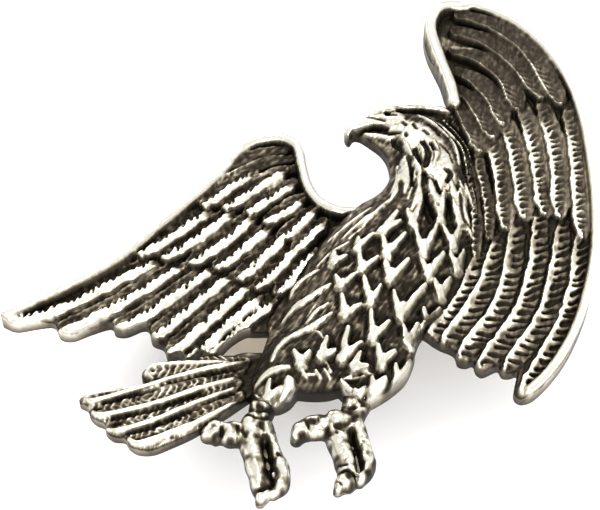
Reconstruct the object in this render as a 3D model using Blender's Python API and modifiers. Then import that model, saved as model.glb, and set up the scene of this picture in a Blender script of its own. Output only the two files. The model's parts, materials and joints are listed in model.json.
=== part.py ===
"""Cast eagle badge with two soldered posts and two butterfly clutches.

The badge lies face up: +Z out of the face, +X to the eagle's right-hand
wing in the picture plane, +Y up the badge.  All drawing numbers are in
millimetres in the casting's own frame (flat back at z = 0) and are scaled
to metres when the meshes are made.  The finished badge stands on the tops
of its two clutches at z = 0.
"""

import math

import bmesh
import bpy
from mathutils import Matrix, Vector

MM = 0.001

# ------------------------------------------------------------------ sizes
BACK_HEIGHT = 7.4          # flat back of the casting above the clutch tops
BOX_CENTRE = (0.41, 2.28)  # middle of the casting's outline, moved to x = y = 0

WING_PLATE = 1.65          # thickness of the wing plates under the feathers
BODY_PLATE = 1.6
TAIL_PLATE = 1.45
PLATE_EDGE = 0.22          # rounding of the plates' edges
UNDERCUT = 1.0             # how far every shape runs below the back, cut away

BODY_FLAT = 0.62           # height of the body's section over its half width
BODY_LEVEL = 0.55          # height of the body's centreline
SCALE_SINK = 0.18          # how deep a breast scale sits in the body
KEPT_FACES = 0.66          # share of the joined forms' faces that is kept

POST_PLACES = {"left": (-3.6, -0.4), "right": (18.4, 2.8)}
PAD_RADIUS = 1.9           # nail head of the post, soldered to the back
PAD_DEPTH = 0.35
JOINT_GAP = 0.05           # gap left between touching pieces
WIRE_RADIUS = 0.55
GROOVE_RADIUS = 0.44
GROOVE_SPAN = (3.9, 5.3)   # depth of the grip groove below the back
POINT_START = 6.2
POST_LENGTH = 7.0
SOLDER_RADIUS = 2.55
SOLDER_DEPTH = 0.32

CLUTCH_TOP = 7.4           # depth of the clutch's flat top below the back
BASE_TOP = 0.6             # depth of the base plate's seating face
BASE_RADIUS = 5.75
SHEET = 0.3                # sheet thickness of base plate and cover
FLANGE_RADIUS = 5.05
TURRET_RADIUS = 2.95
SLOT_WIDTH = 3.9
JAW_WIDTH = 3.5
JAW_SHEET = 0.28
JAW_DEPTHS = {"a": 4.15, "b": 4.55}
JAW_TRAVEL = 0.6
WING_TILT = 52.0           # angle of the finger tabs to the jaw, degrees

# ---------------------------------------------------------------- outlines
LEFT_WING = [
    (-25.5, -5.8), (-23.4, -4.8), (-19.9, -2.9), (-17.5, -1.6), (-15.2, 0.2),
    (-12.4, 3.2), (-10.0, 5.5), (-8.7, 6.8), (-7.4, 8.4), (-6.0, 10.4),
    (-4.8, 11.6), (-3.4, 12.2), (-1.6, 12.4), (-0.3, 11.8), (0.4, 10.6),
    (0.6, 9.0), (1.0, 7.3), (1.6, 6.0), (2.4, 5.2), (3.4, 4.75), (4.7, 4.8),
    (7.0, 4.2), (5.0, -2.0), (0.0, -5.0), (-3.0, -6.5), (-4.6, -7.1),
    (-5.9, -8.0), (-7.3, -9.5), (-8.4, -9.1), (-9.5, -9.9), (-10.2, -9.2),
    (-11.2, -9.5), (-11.6, -8.4), (-12.6, -7.9), (-12.9, -6.7), (-13.5, -6.5),
    (-14.8, -7.1), (-15.8, -7.0), (-16.2, -6.3), (-18.0, -6.9), (-19.4, -7.5),
    (-20.5, -7.3), (-21.1, -6.2), (-22.6, -6.3), (-24.2, -6.6), (-25.1, -6.3),
]
RIGHT_WING = [
    (13.3, 15.9), (13.1, 17.3), (12.8, 18.6), (12.2, 20.2), (11.7, 21.6),
    (11.4, 23.2), (11.5, 24.8), (12.0, 26.2), (13.0, 27.0), (14.6, 27.3),
    (16.4, 27.0), (18.2, 26.3), (20.2, 25.0), (21.8, 23.4), (23.2, 21.4),
    (24.4, 19.0), (25.2, 16.5), (25.8, 13.5), (26.2, 10.0), (26.3, 6.5),
    (26.1, 3.0), (25.7, -0.5), (25.1, -3.5), (24.2, -6.3), (22.8, -9.3),
    (21.2, -11.6), (19.6, -13.2), (18.5, -13.5), (18.0, -12.9), (18.2, -11.8),
    (18.4, -10.9), (17.7, -11.1), (17.1, -11.0), (16.8, -10.4), (16.1, -10.7),
    (15.4, -11.0), (14.9, -10.6), (14.7, -9.9), (14.1, -10.1), (13.4, -9.9),
    (13.2, -9.1), (12.7, -8.7), (12.0, -8.4), (10.8, -7.5), (8.5, -5.0),
    (9.0, 5.0), (11.0, 12.0), (11.6, 14.3),
]
BODY = [
    (4.0, 12.8), (4.1, 13.5), (4.9, 14.1), (6.0, 14.5), (6.3, 15.0),
    (7.2, 15.5), (8.5, 15.7), (10.2, 15.8), (12.0, 15.5), (13.6, 15.6),
    (15.0, 14.0), (15.6, 9.0), (15.6, 2.0), (14.5, -2.0), (12.5, -5.5),
    (10.6, -7.2), (9.9, -8.6), (9.7, -9.8), (9.0, -11.5), (8.0, -12.6),
    (6.8, -13.5), (5.6, -14.1), (4.4, -13.8), (3.5, -13.2), (2.9, -12.4),
    (1.8, -12.0), (0.6, -12.3), (-0.2, -13.1), (-0.9, -14.0), (-2.0, -14.5),
    (-3.2, -14.2), (-3.9, -13.3), (-4.1, -12.0), (-3.7, -10.6), (-3.1, -9.0),
    (-2.7, -7.4), (-2.7, -6.0), (-1.0, -3.0), (2.0, 1.0), (5.0, 4.7),
    (6.2, 5.4), (7.2, 6.3), (7.8, 7.5), (8.0, 8.8), (7.8, 10.2), (7.2, 11.3),
    (6.2, 12.2), (5.4, 12.8), (4.8, 12.9), (4.4, 12.3),
]
TAIL = [
    (-2.6, -9.7), (-5.5, -9.9), (-8.0, -9.9), (-10.5, -10.0), (-12.3, -10.1),
    (-13.3, -10.8), (-13.3, -11.6), (-12.7, -12.1), (-15.0, -12.6),
    (-17.2, -12.9), (-18.4, -13.2), (-18.5, -13.8), (-17.8, -14.2),
    (-17.6, -14.9), (-17.0, -15.5), (-16.3, -15.8), (-16.2, -16.4),
    (-15.5, -17.0), (-14.6, -17.1), (-14.2, -17.7), (-13.4, -18.2),
    (-12.2, -18.2), (-11.0, -17.7), (-9.0, -16.7), (-7.0, -15.4),
    (-5.6, -14.4), (-4.0, -13.2), (-2.0, -12.0),
]

# Every feather is a spine (root first), a half width and a level.
LEFT_ROWS = [
    {"half": 0.88, "level": 1.50, "rise": 0.52, "feathers": [
        [(-12.9, -0.5), (-17.4, -3.1), (-21.0, -5.0), (-24.4, -6.0)],
        [(-11.2, -1.3), (-14.9, -4.1), (-18.0, -5.9), (-20.2, -6.8)],
        [(-8.6, -1.6), (-11.5, -4.1), (-13.7, -5.8), (-15.3, -6.6)],
        [(-6.9, -2.1), (-9.4, -4.6), (-11.2, -6.4), (-12.4, -7.4)],
        [(-5.4, -3.2), (-7.6, -5.6), (-9.6, -7.7), (-11.0, -9.0)],
        [(-4.4, -4.2), (-6.2, -6.2), (-8.0, -8.2), (-9.4, -9.5)],
        [(-3.2, -4.6), (-4.8, -6.2), (-6.2, -7.8), (-7.5, -9.1)],
    ]},
    {"half": 0.92, "level": 1.85, "rise": 0.62, "feathers": [
        [(-8.9, 4.4), (-11.2, 2.2), (-13.6, 0.5)],
        [(-6.8, 4.2), (-9.0, 2.0), (-11.4, 0.2)],
        [(-4.8, 3.6), (-6.8, 1.5), (-9.0, -0.3)],
        [(-3.4, 2.6), (-5.2, 0.8), (-6.9, -0.8)],
        [(-2.0, 1.6), (-3.6, -0.2), (-5.0, -1.8)],
        [(-0.8, 0.6), (-2.2, -1.2), (-3.4, -2.7)],
        [(0.8, 0.0), (-0.8, -1.8), (-1.8, -3.2)],
    ]},
    {"half": 0.82, "level": 2.10, "rise": 0.62, "feathers": [
        [(-3.4, 10.2), (-6.4, 7.8), (-9.2, 5.0)],
        [(-3.6, 8.9), (-6.0, 6.9), (-8.2, 5.1)],
        [(-2.0, 8.5), (-4.2, 6.6), (-6.2, 5.0)],
        [(-1.1, 7.0), (-2.8, 5.6), (-4.2, 4.5)],
        [(0.0, 5.4), (-1.4, 4.4), (-2.6, 3.5)],
        [(1.2, 4.2), (-0.2, 2.9), (-1.6, 1.7)],
        [(2.6, 3.4), (1.0, 2.0), (-0.4, 0.8)],
    ]},
]
RIGHT_ROWS = [
    {"half": 0.95, "level": 1.50, "rise": 0.55, "feathers": [
        [(24.5, 1.2), (23.9, -2.8), (22.3, -7.2), (18.9, -13.0)],
        [(22.9, 2.4), (22.3, -1.6), (20.8, -6.2), (17.7, -10.6)],
        [(21.0, 3.0), (20.5, -1.0), (18.9, -5.8), (15.5, -10.5)],
        [(18.9, 2.0), (18.3, -1.6), (16.8, -5.6), (13.9, -9.5)],
        [(17.0, 0.6), (16.2, -2.5), (14.6, -5.6), (12.6, -8.2)],
        [(15.3, -0.9), (14.2, -3.8), (12.6, -6.2), (11.4, -7.6)],
    ]},
    {"half": 0.80, "level": 1.85, "rise": 0.60, "feathers": [
        [(24.0, 15.0), (24.6, 10.6), (24.6, 6.2), (24.7, 2.6)],
        [(22.8, 15.6), (23.5, 11.6), (23.5, 7.6), (23.3, 4.4)],
        [(21.0, 15.6), (21.8, 11.4), (21.8, 7.4), (21.9, 3.8)],
        [(19.6, 14.0), (20.2, 10.8), (20.1, 7.6), (19.6, 4.6)],
        [(18.0, 12.2), (18.6, 9.0), (18.5, 6.0), (17.8, 3.0)],
        [(16.8, 10.2), (17.1, 7.2), (16.9, 4.6), (16.5, 2.0)],
        [(15.7, 9.2), (15.9, 6.2), (15.8, 3.6), (15.5, 0.8)],
    ]},
    {"half": 1.05, "level": 2.05, "rise": 0.62, "feathers": [
        [(14.8, 25.6), (18.6, 24.0), (21.4, 21.0), (23.4, 16.0)],
        [(14.4, 23.8), (17.6, 22.6), (20.1, 20.0), (21.8, 16.6)],
        [(14.2, 21.6), (16.9, 20.6), (19.0, 18.4), (19.7, 15.4)],
        [(14.4, 19.3), (16.4, 18.1), (17.8, 16.2), (18.3, 13.9)],
        [(14.5, 17.2), (15.9, 15.8), (16.9, 14.0), (17.3, 12.4)],
        [(14.4, 15.4), (15.2, 13.8), (16.0, 12.2), (16.2, 10.9)],
    ]},
]
TAIL_ROW = {"half": 0.80, "level": 1.35, "rise": 0.55, "feathers": [
    [(-5.0, -10.4), (-9.0, -10.6), (-12.6, -11.1)],
    [(-5.6, -11.2), (-11.0, -12.2), (-17.8, -13.5)],
    [(-5.2, -12.0), (-10.4, -13.3), (-16.9, -14.9)],
    [(-5.0, -12.9), (-9.8, -14.4), (-15.7, -16.4)],
    [(-5.0, -13.9), (-8.8, -15.6), (-13.2, -17.5)],
]}

# Beads along the wings' rims: spine, radius and level.
BEADS = [
    ("left_rim", 0.42, 1.75, [
        (-14.6, 0.5), (-12.2, 3.0), (-9.8, 5.3), (-7.2, 8.1), (-5.4, 10.6),
        (-3.6, 11.8), (-1.6, 12.0), (-0.2, 11.1), (0.3, 9.0), (0.9, 6.8),
        (1.9, 5.2), (3.4, 4.4), (5.4, 4.6)]),
    ("right_inner_rim", 0.48, 1.80, [
        (13.8, 15.6), (13.6, 17.6), (13.0, 19.6), (12.3, 21.8), (11.9, 23.8),
        (12.3, 25.8), (13.4, 26.7)]),
    ("right_outer_rim", 0.42, 1.55, [
        (13.4, 26.7), (16.2, 26.6), (19.6, 24.9), (22.4, 22.0), (24.4, 18.0),
        (25.5, 13.0), (25.9, 7.0), (25.7, 1.5), (24.8, -3.2), (23.3, -7.5),
        (21.2, -11.0), (19.2, -13.1)]),
]

# Body, neck and head as one tapering form: (x, y, half width).
BODY_SPINE = [
    (2.8, -11.3, 2.9), (3.2, -9.6, 4.9), (4.2, -6.8, 6.2), (6.2, -3.2, 6.7),
    (8.4, 0.6, 6.5),
    (10.4, 4.4, 5.2), (11.6, 8.0, 3.9), (11.3, 11.0, 3.4), (10.2, 13.0, 2.7),
    (8.7, 13.9, 1.9),
]
# Other round forms: spine of (x, y, radius), centre level, height factor.
ROUND_FORMS = [
    ("thigh_left", 1.0, 1.00, [
        (1.4, -7.6, 2.0), (0.4, -9.2, 2.7), (-0.9, -11.0, 2.8),
        (-2.0, -12.8, 2.1), (-2.4, -13.9, 1.3)]),
    ("thigh_right", 1.0, 0.95, [
        (7.0, -7.4, 2.4), (7.2, -9.2, 3.0), (6.8, -10.8, 2.9),
        (5.8, -12.4, 2.2), (5.2, -13.4, 1.4)]),
    ("beak_upper", 1.7, 1.00, [
        (8.4, 13.9, 1.2), (6.6, 13.7, 0.95), (5.2, 13.4, 0.7),
        (4.5, 12.9, 0.45), (4.3, 12.4, 0.2)]),
    ("beak_lower", 1.4, 1.20, [
        (8.6, 12.2, 0.65), (7.2, 12.4, 0.5), (6.0, 12.6, 0.3)]),
    ("brow", 2.9, 0.90, [
        (6.7, 14.7, 0.4), (7.8, 15.0, 0.55), (9.6, 14.8, 0.5)]),
    ("shank_left", 1.1, 1.25, [
        (-2.9, -13.2, 1.3), (-3.4, -15.2, 1.05), (-3.7, -16.9, 1.1)]),
    ("toe_left_hind", 1.1, 1.35, [
        (-4.0, -17.0, 1.0), (-5.8, -16.9, 0.85), (-7.1, -16.9, 0.8),
        (-7.8, -16.9, 0.4)]),
    ("toe_left_front", 1.1, 1.35, [
        (-4.0, -17.0, 1.1), (-3.9, -18.8, 0.95), (-3.4, -20.6, 0.85),
        (-3.2, -21.9, 0.75), (-3.3, -22.7, 0.3)]),
    ("toe_left_outer", 1.0, 1.35, [
        (-3.2, -17.0, 0.9), (-2.2, -18.9, 0.65), (-1.7, -20.6, 0.75),
        (-1.8, -21.4, 0.6), (-2.0, -22.0, 0.3)]),
    ("shank_right", 1.1, 1.25, [
        (5.0, -12.9, 1.4), (4.4, -14.8, 1.1), (3.6, -16.2, 1.1)]),
    ("toe_right_hind", 1.1, 1.35, [
        (3.2, -16.2, 1.0), (1.6, -16.4, 0.8), (0.4, -16.7, 0.8),
        (-0.3, -16.9, 0.4)]),
    ("toe_right_front", 1.1, 1.35, [
        (3.2, -16.2, 1.1), (3.5, -18.0, 0.95), (4.1, -19.7, 0.85),
        (3.9, -21.0, 0.85), (3.2, -21.5, 0.4)]),
    ("toe_right_outer", 1.0, 1.35, [
        (4.2, -16.2, 0.9), (5.0, -17.9, 0.75), (5.7, -19.5, 0.7),
        (5.5, -20.4, 0.6), (5.2, -21.0, 0.3)]),
]
# Breast and neck scales: rows across the body, at these spine distances.
SCALE_PITCH = 2.3          # along the spine
SCALE_SPACING = 2.15       # across the body
SCALE_HALF = 0.85
SCALE_LENGTH = 2.3

MATERIALS = {
    "antique_pewter": ((0.55, 0.53, 0.46), 0.34),
    "post_nickel": ((0.62, 0.61, 0.58), 0.28),
    "solder": ((0.45, 0.46, 0.48), 0.45),
    "clutch_brass": ((0.72, 0.53, 0.24), 0.30),
    "spring_brass": ((0.66, 0.50, 0.25), 0.35),
}


# ------------------------------------------------------------------ helpers
def clear_scene():
    for obj in list(bpy.data.objects):
        bpy.data.objects.remove(obj, do_unlink=True)


def new_collection(name):
    found = bpy.data.collections.new(name)
    bpy.context.scene.collection.children.link(found)
    return found


def make_material(name):
    colour, roughness = MATERIALS[name]
    material = bpy.data.materials.new(name)
    material.use_nodes = True
    shader = material.node_tree.nodes["Principled BSDF"]
    shader.inputs["Base Color"].default_value = (*colour, 1.0)
    shader.inputs["Roughness"].default_value = roughness
    shader.inputs["Metallic"].default_value = 1.0
    return material


def mesh_object(name, mesh, collection):
    obj = bpy.data.objects.new(name, mesh)
    collection.objects.link(obj)
    return obj


def curve_to_mesh(obj, collection):
    """Replace a curve object by a closed mesh object of the same name."""
    name, world = obj.name, obj.matrix_world.copy()
    graph = bpy.context.evaluated_depsgraph_get()
    graph.update()
    mesh = bpy.data.meshes.new_from_object(obj.evaluated_get(graph))
    bm = bmesh.new()
    bm.from_mesh(mesh)
    bmesh.ops.remove_doubles(bm, verts=bm.verts, dist=1e-6)
    bmesh.ops.recalc_face_normals(bm, faces=bm.faces)
    bm.to_mesh(mesh)
    bm.free()
    curve = obj.data
    bpy.data.objects.remove(obj, do_unlink=True)
    bpy.data.curves.remove(curve)
    made = mesh_object(name, mesh, collection)
    made.matrix_world = world
    return made


def new_curve(name, dimensions, collection):
    curve = bpy.data.curves.new(name, "CURVE")
    curve.dimensions = dimensions
    obj = bpy.data.objects.new(name, curve)
    collection.objects.link(obj)
    return obj, curve


def auto_spline(curve, points, cyclic, steps):
    """A smooth Bezier spline through points of (x, y, z, radius)."""
    spline = curve.splines.new("BEZIER")
    spline.bezier_points.add(len(points) - 1)
    for knot, (x, y, z, radius) in zip(spline.bezier_points, points):
        knot.co = Vector((x, y, z)) * MM
        knot.radius = radius
        knot.handle_left_type = knot.handle_right_type = "AUTO"
    spline.use_cyclic_u = cyclic
    spline.resolution_u = steps
    return spline


def plate(name, outline, top, collection, steps=2):
    """A flat plate with a rounded edge, from below the back up to top."""
    obj, curve = new_curve(name, "2D", collection)
    curve.fill_mode = "BOTH"
    curve.extrude = ((top + UNDERCUT) / 2 - PLATE_EDGE) * MM
    curve.bevel_depth = PLATE_EDGE * MM
    curve.bevel_resolution = 0
    curve.offset = -PLATE_EDGE * MM
    auto_spline(curve, [(x, y, 0.0, 1.0) for x, y in outline], True, steps)
    obj.location.z = (top - UNDERCUT) / 2 * MM
    bpy.context.view_layer.update()
    return curve_to_mesh(obj, collection)


def tube(name, points, collection, steps=2, sides=2, height=1.0):
    """A tapering tube through (x, y, z, radius), its section scaled in z."""
    obj, curve = new_curve(name, "3D", collection)
    curve.bevel_depth = MM
    curve.bevel_resolution = sides
    curve.use_fill_caps = True
    level = points[0][2]
    flat = [(x, y, (z - level) / height, r) for x, y, z, r in points]
    auto_spline(curve, flat, False, steps)
    made = curve_to_mesh(obj, collection)
    made.data.transform(Matrix.Diagonal((1.0, 1.0, height, 1.0)))
    made.data.transform(Matrix.Translation((0.0, 0.0, level * MM)))
    return made


def nearest_on_spine(x, y):
    """Distance to the body's spine and the half width there."""
    best = (1e9, 0.0)
    for (ax, ay, ar), (bx, by, br) in zip(BODY_SPINE, BODY_SPINE[1:]):
        dx, dy = bx - ax, by - ay
        t = ((x - ax) * dx + (y - ay) * dy) / (dx * dx + dy * dy)
        t = min(1.0, max(0.0, t))
        gap = math.hypot(x - ax - t * dx, y - ay - t * dy)
        best = min(best, (gap, ar + t * (br - ar)))
    return best


def body_height(x, y):
    gap, half = nearest_on_spine(x, y)
    return BODY_LEVEL + BODY_FLAT * math.sqrt(max(0.0, half * half - gap * gap))


def feather_points(spine, half, level):
    """Taper a feather: narrow root, full middle, rounded nose past the tip."""
    last = len(spine) - 1
    points = []
    for i, (x, y) in enumerate(spine):
        share = i / last
        width = half * (0.72 + 0.28 * math.sin(math.pi * min(1.0, share * 1.2)))
        if i == last:
            width *= 0.78
        points.append((x, y, level, width))
    (ax, ay), (bx, by) = spine[-2:]
    step = 0.45 * half / math.hypot(bx - ax, by - ay)
    nose = (bx + (bx - ax) * step, by + (by - ay) * step, level, 0.35 * half)
    return [*points, nose]


def add_feathers(name, row, collection):
    for i, spine in enumerate(row["feathers"]):
        points = feather_points(spine, row["half"], row["level"])
        height = row["rise"] / row["half"]
        tube(f"{name}_{i + 1}", points, collection, sides=1, height=height)


def add_scales(collection):
    """Overlapping scales over the breast, in rows that alternate."""
    spine = [Vector((x, y)) for x, y, half in BODY_SPINE]
    halves = [half for x, y, half in BODY_SPINE]
    travelled, row, count = 0.0, 0, 0
    for a, b, ra, rb in zip(spine[:-3], spine[1:], halves, halves[1:]):
        span = (b - a).length
        along = (b - a) / span
        across = Vector((along.y, -along.x))
        while row * SCALE_PITCH < travelled + span:
            share = (row * SCALE_PITCH - travelled) / span
            middle = a.lerp(b, share)
            half = ra + share * (rb - ra)
            places = int((half - 0.9) / SCALE_SPACING)
            shift = 0.5 * (row % 2)
            for k in range(-places, places + 1):
                side = (k + shift) * SCALE_SPACING
                if abs(side) > half - 0.8:
                    continue
                count += 1
                add_scale(f"scale_{count}", middle + across * side, along,
                          collection)
            row += 1
        travelled += span


def add_scale(name, tip, along, collection):
    points = []
    widths = (0.55, 1.0, 0.35)
    for share, width in zip((1.0, 0.45, 0.0), widths):
        spot = tip + along * SCALE_LENGTH * share
        z = body_height(spot.x, spot.y) - SCALE_SINK - 0.18 * share
        points.append((spot.x, spot.y, z, SCALE_HALF * width))
    tube(name, points, collection, steps=1, sides=0, height=0.55)


# ------------------------------------------------------------- the casting
def build_casting(parts, tools):
    """All raised forms joined into one solid, then cut flat at the back."""
    casting = plate("eagle_casting", LEFT_WING, WING_PLATE, parts)
    plate("right_wing_plate", RIGHT_WING, WING_PLATE + 0.06, tools)
    plate("body_plate", BODY, BODY_PLATE, tools)
    plate("tail_plate", TAIL, TAIL_PLATE, tools)
    for side, rows in (("left", LEFT_ROWS), ("right", RIGHT_ROWS)):
        for i, row in enumerate(rows):
            add_feathers(f"{side}_row_{i + 1}", row, tools)
    add_feathers("tail_feather", TAIL_ROW, tools)
    for name, radius, level, spine in BEADS:
        tube(name, [(x, y, level, radius) for x, y in spine], tools,
             steps=2, sides=2)
    body = [(x, y, BODY_LEVEL, half) for x, y, half in BODY_SPINE]
    tube("body_form", body, tools, steps=2, sides=6, height=BODY_FLAT)
    for name, level, height, spine in ROUND_FORMS:
        tube(name, [(x, y, level, r) for x, y, r in spine], tools,
             steps=2, sides=2, height=height)
    add_scales(tools)

    join = casting.modifiers.new("join forms", "BOOLEAN")
    join.operation = "UNION"
    join.solver = "EXACT"
    join.operand_type = "COLLECTION"
    join.collection = tools

    block_mesh = bpy.data.meshes.new("back_cut")
    bm = bmesh.new()
    bmesh.ops.create_cube(bm, size=1.0)
    bm.to_mesh(block_mesh)
    bm.free()
    block_mesh.transform(Matrix.Diagonal((0.08, 0.08, 0.01, 1.0)))
    cutters = new_collection("cutters")
    block = mesh_object("back_cut", block_mesh, cutters)
    block.location = (0.0, 0.0, -0.005)
    trim = casting.modifiers.new("flat back", "BOOLEAN")
    trim.operation = "DIFFERENCE"
    trim.solver = "EXACT"
    trim.object = block
    weld = casting.modifiers.new("close seams", "WELD")
    weld.merge_threshold = 5e-7
    thin = casting.modifiers.new("even faces", "DECIMATE")
    thin.ratio = KEPT_FACES
    return casting, cutters


# ------------------------------------------------------------ turned pieces
def turned(name, profile, steps, collection, origin):
    """Turn a profile of (radius, depth below the back) about the post."""
    mesh = bpy.data.meshes.new(name)
    verts = [(r * MM, 0.0, -depth * MM) for r, depth in profile]
    edges = [(i, i + 1) for i in range(len(verts) - 1)]
    if profile[0][0] > 0.0:
        edges.append((len(verts) - 1, 0))
    mesh.from_pydata(verts, edges, [])
    obj = mesh_object(name, mesh, collection)
    obj.location = origin
    screw = obj.modifiers.new("turn", "SCREW")
    screw.steps = screw.render_steps = steps
    screw.use_merge_vertices = True
    screw.merge_threshold = 1e-6
    return obj


def build_post(side, collection, origin):
    pad_top, pad_bottom = JOINT_GAP, JOINT_GAP + PAD_DEPTH
    profile = [
        (0.0, pad_top), (PAD_RADIUS - 0.08, pad_top), (PAD_RADIUS, pad_top + 0.08),
        (PAD_RADIUS, pad_bottom - 0.1), (PAD_RADIUS - 0.1, pad_bottom),
        (WIRE_RADIUS + 0.12, pad_bottom), (WIRE_RADIUS, pad_bottom + 0.12),
        (WIRE_RADIUS, GROOVE_SPAN[0]), (GROOVE_RADIUS, GROOVE_SPAN[0] + 0.15),
        (GROOVE_RADIUS, GROOVE_SPAN[1] - 0.15), (WIRE_RADIUS, GROOVE_SPAN[1]),
        (WIRE_RADIUS, POINT_START), (0.14, POST_LENGTH - 0.06),
        (0.0, POST_LENGTH),
    ]
    return turned(f"post_{side}", profile, 20, collection, origin)


def build_solder(side, collection, origin):
    inner = PAD_RADIUS + JOINT_GAP
    profile = [
        (inner, JOINT_GAP), (SOLDER_RADIUS, JOINT_GAP),
        (SOLDER_RADIUS - 0.05, JOINT_GAP + 0.06),
        (inner + 0.22, JOINT_GAP + SOLDER_DEPTH * 0.55),
        (inner + 0.06, JOINT_GAP + SOLDER_DEPTH), (inner, JOINT_GAP + SOLDER_DEPTH),
    ]
    return turned(f"solder_{side}", profile, 28, collection, origin)


def build_base_plate(side, collection, origin):
    """Dished disc with a funnel hole and a rim rolled over the flange."""
    top = BASE_TOP
    profile = [
        (0.75, top + 0.45), (0.85, top + 0.12), (1.15, top),
        (BASE_RADIUS - 0.35, top), (BASE_RADIUS - 0.08, top + 0.1),
        (BASE_RADIUS, top + 0.35), (BASE_RADIUS, top + 0.95),
        (BASE_RADIUS - 0.12, top + 1.12), (FLANGE_RADIUS - 0.25, top + 1.12),
        (FLANGE_RADIUS - 0.25, top + 0.85), (BASE_RADIUS - 0.32, top + 0.83),
        (BASE_RADIUS - 0.32, top + 0.42), (BASE_RADIUS - 0.42, top + SHEET),
        (1.25, top + SHEET), (1.05, top + SHEET + 0.25), (0.98, top + 0.5),
    ]
    return turned(f"clutch_{side}_base_plate", profile, 36, collection, origin)


def build_cover(side, collection, cutters, origin):
    """Flanged turret with a flat top and a slot through both sides."""
    flange = BASE_TOP + SHEET + 0.05
    top = CLUTCH_TOP
    out, inn = TURRET_RADIUS, TURRET_RADIUS - SHEET
    profile = [
        (0.0, top - SHEET), (inn - 0.55, top - SHEET), (inn - 0.12, top - 0.5),
        (inn, top - 1.0), (inn + 0.1, flange + 0.25), (inn + 0.4, flange),
        (FLANGE_RADIUS - 0.08, flange), (FLANGE_RADIUS, flange + 0.08),
        (FLANGE_RADIUS, flange + SHEET), (out + 0.45, flange + SHEET),
        (out + 0.12, flange + 0.55), (out, top - 0.9), (out - 0.15, top - 0.3),
        (out - 0.5, top), (0.0, top),
    ]
    cover = turned(f"clutch_{side}_cover", profile, 36, collection, origin)
    slot_mesh = bpy.data.meshes.new("slot")
    bm = bmesh.new()
    bmesh.ops.create_cube(bm, size=1.0)
    bm.to_mesh(slot_mesh)
    bm.free()
    low, high = JAW_DEPTHS["a"] - 0.12, JAW_DEPTHS["b"] + JAW_SHEET + 0.12
    slot_mesh.transform(
        Matrix.Diagonal((9.0 * MM, SLOT_WIDTH * MM, (high - low) * MM, 1.0)))
    slot = mesh_object(f"slot_{side}", slot_mesh, cutters)
    slot.location = origin + Vector((0.0, 0.0, -(low + high) / 2 * MM))
    cut = cover.modifiers.new("side slots", "BOOLEAN")
    cut.operation = "DIFFERENCE"
    cut.solver = "EXACT"
    cut.object = slot
    return cover


# --------------------------------------------------------------------- jaws
def sheet(name, outline, hole, collection):
    """A flat sheet from a 2D outline with an optional hole."""
    obj, curve = new_curve(name, "2D", collection)
    curve.fill_mode = "BOTH"
    curve.extrude = JAW_SHEET / 2 * MM
    for loop in (outline, hole):
        if not loop:
            continue
        spline = curve.splines.new("POLY")
        spline.points.add(len(loop) - 1)
        for knot, (x, y) in zip(spline.points, loop):
            knot.co = (x * MM, y * MM, 0.0, 1.0)
        spline.use_cyclic_u = True
    return curve_to_mesh(obj, collection)


def arc(cx, cy, radius, start, stop, count):
    angles = [math.radians(start + (stop - start) * i / count)
              for i in range(count + 1)]
    return [(cx + radius * math.cos(a), cy + radius * math.sin(a))
            for a in angles]


def build_jaw(side, key, collection, cutters, origin):
    """Spring jaw: a strip with a long hole, and a finger tab outside."""
    half = JAW_WIDTH / 2
    reach = 4.1
    outline = [(-2.1, -half + 0.5), (-1.6, -half), (reach, -half),
               (reach, half), (-1.6, half), (-2.1, half - 0.5)]
    grip = WIRE_RADIUS + JOINT_GAP
    hole = (arc(JAW_TRAVEL, 0.0, grip, 90, -90, 8)
            + arc(0.0, 0.0, grip, -90, -270, 8))
    jaw = sheet(f"clutch_{side}_jaw_{key}", outline, hole, collection)
    tab_outline = ([(0.0, -half + 0.05), (0.6, -half + 0.05)]
                   + arc(1.05, 0.0, 1.95, -62, 62, 10)
                   + [(0.6, half - 0.05), (0.0, half - 0.05)])
    tab = sheet(f"tab_{side}_{key}", tab_outline, None, cutters)
    bend = JAW_SHEET / 2 * math.tan(math.radians(WING_TILT) / 2)
    turn = Matrix.Rotation(math.radians(WING_TILT), 4, "Y")
    tab.data.transform(
        Matrix.Translation(((reach - bend) * MM, 0.0, 0.0)) @ turn)
    if key == "b":
        for piece in (jaw, tab):
            piece.data.transform(Matrix.Rotation(math.pi, 4, "Z"))
    depth = JAW_DEPTHS[key] + JAW_SHEET / 2
    place = origin + Vector((0.0, 0.0, -depth * MM))
    jaw.location = tab.location = place
    join = jaw.modifiers.new("join tab", "BOOLEAN")
    join.operation = "UNION"
    join.solver = "EXACT"
    join.object = tab
    return jaw


# ----------------------------------------------------------------- assembly
def finish_piece(obj, material, smooth=True):
    obj.data.materials.clear()
    obj.data.materials.append(material)
    if smooth:
        obj.data.shade_smooth()
        obj.data.set_sharp_from_angle(angle=math.radians(35))


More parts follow.
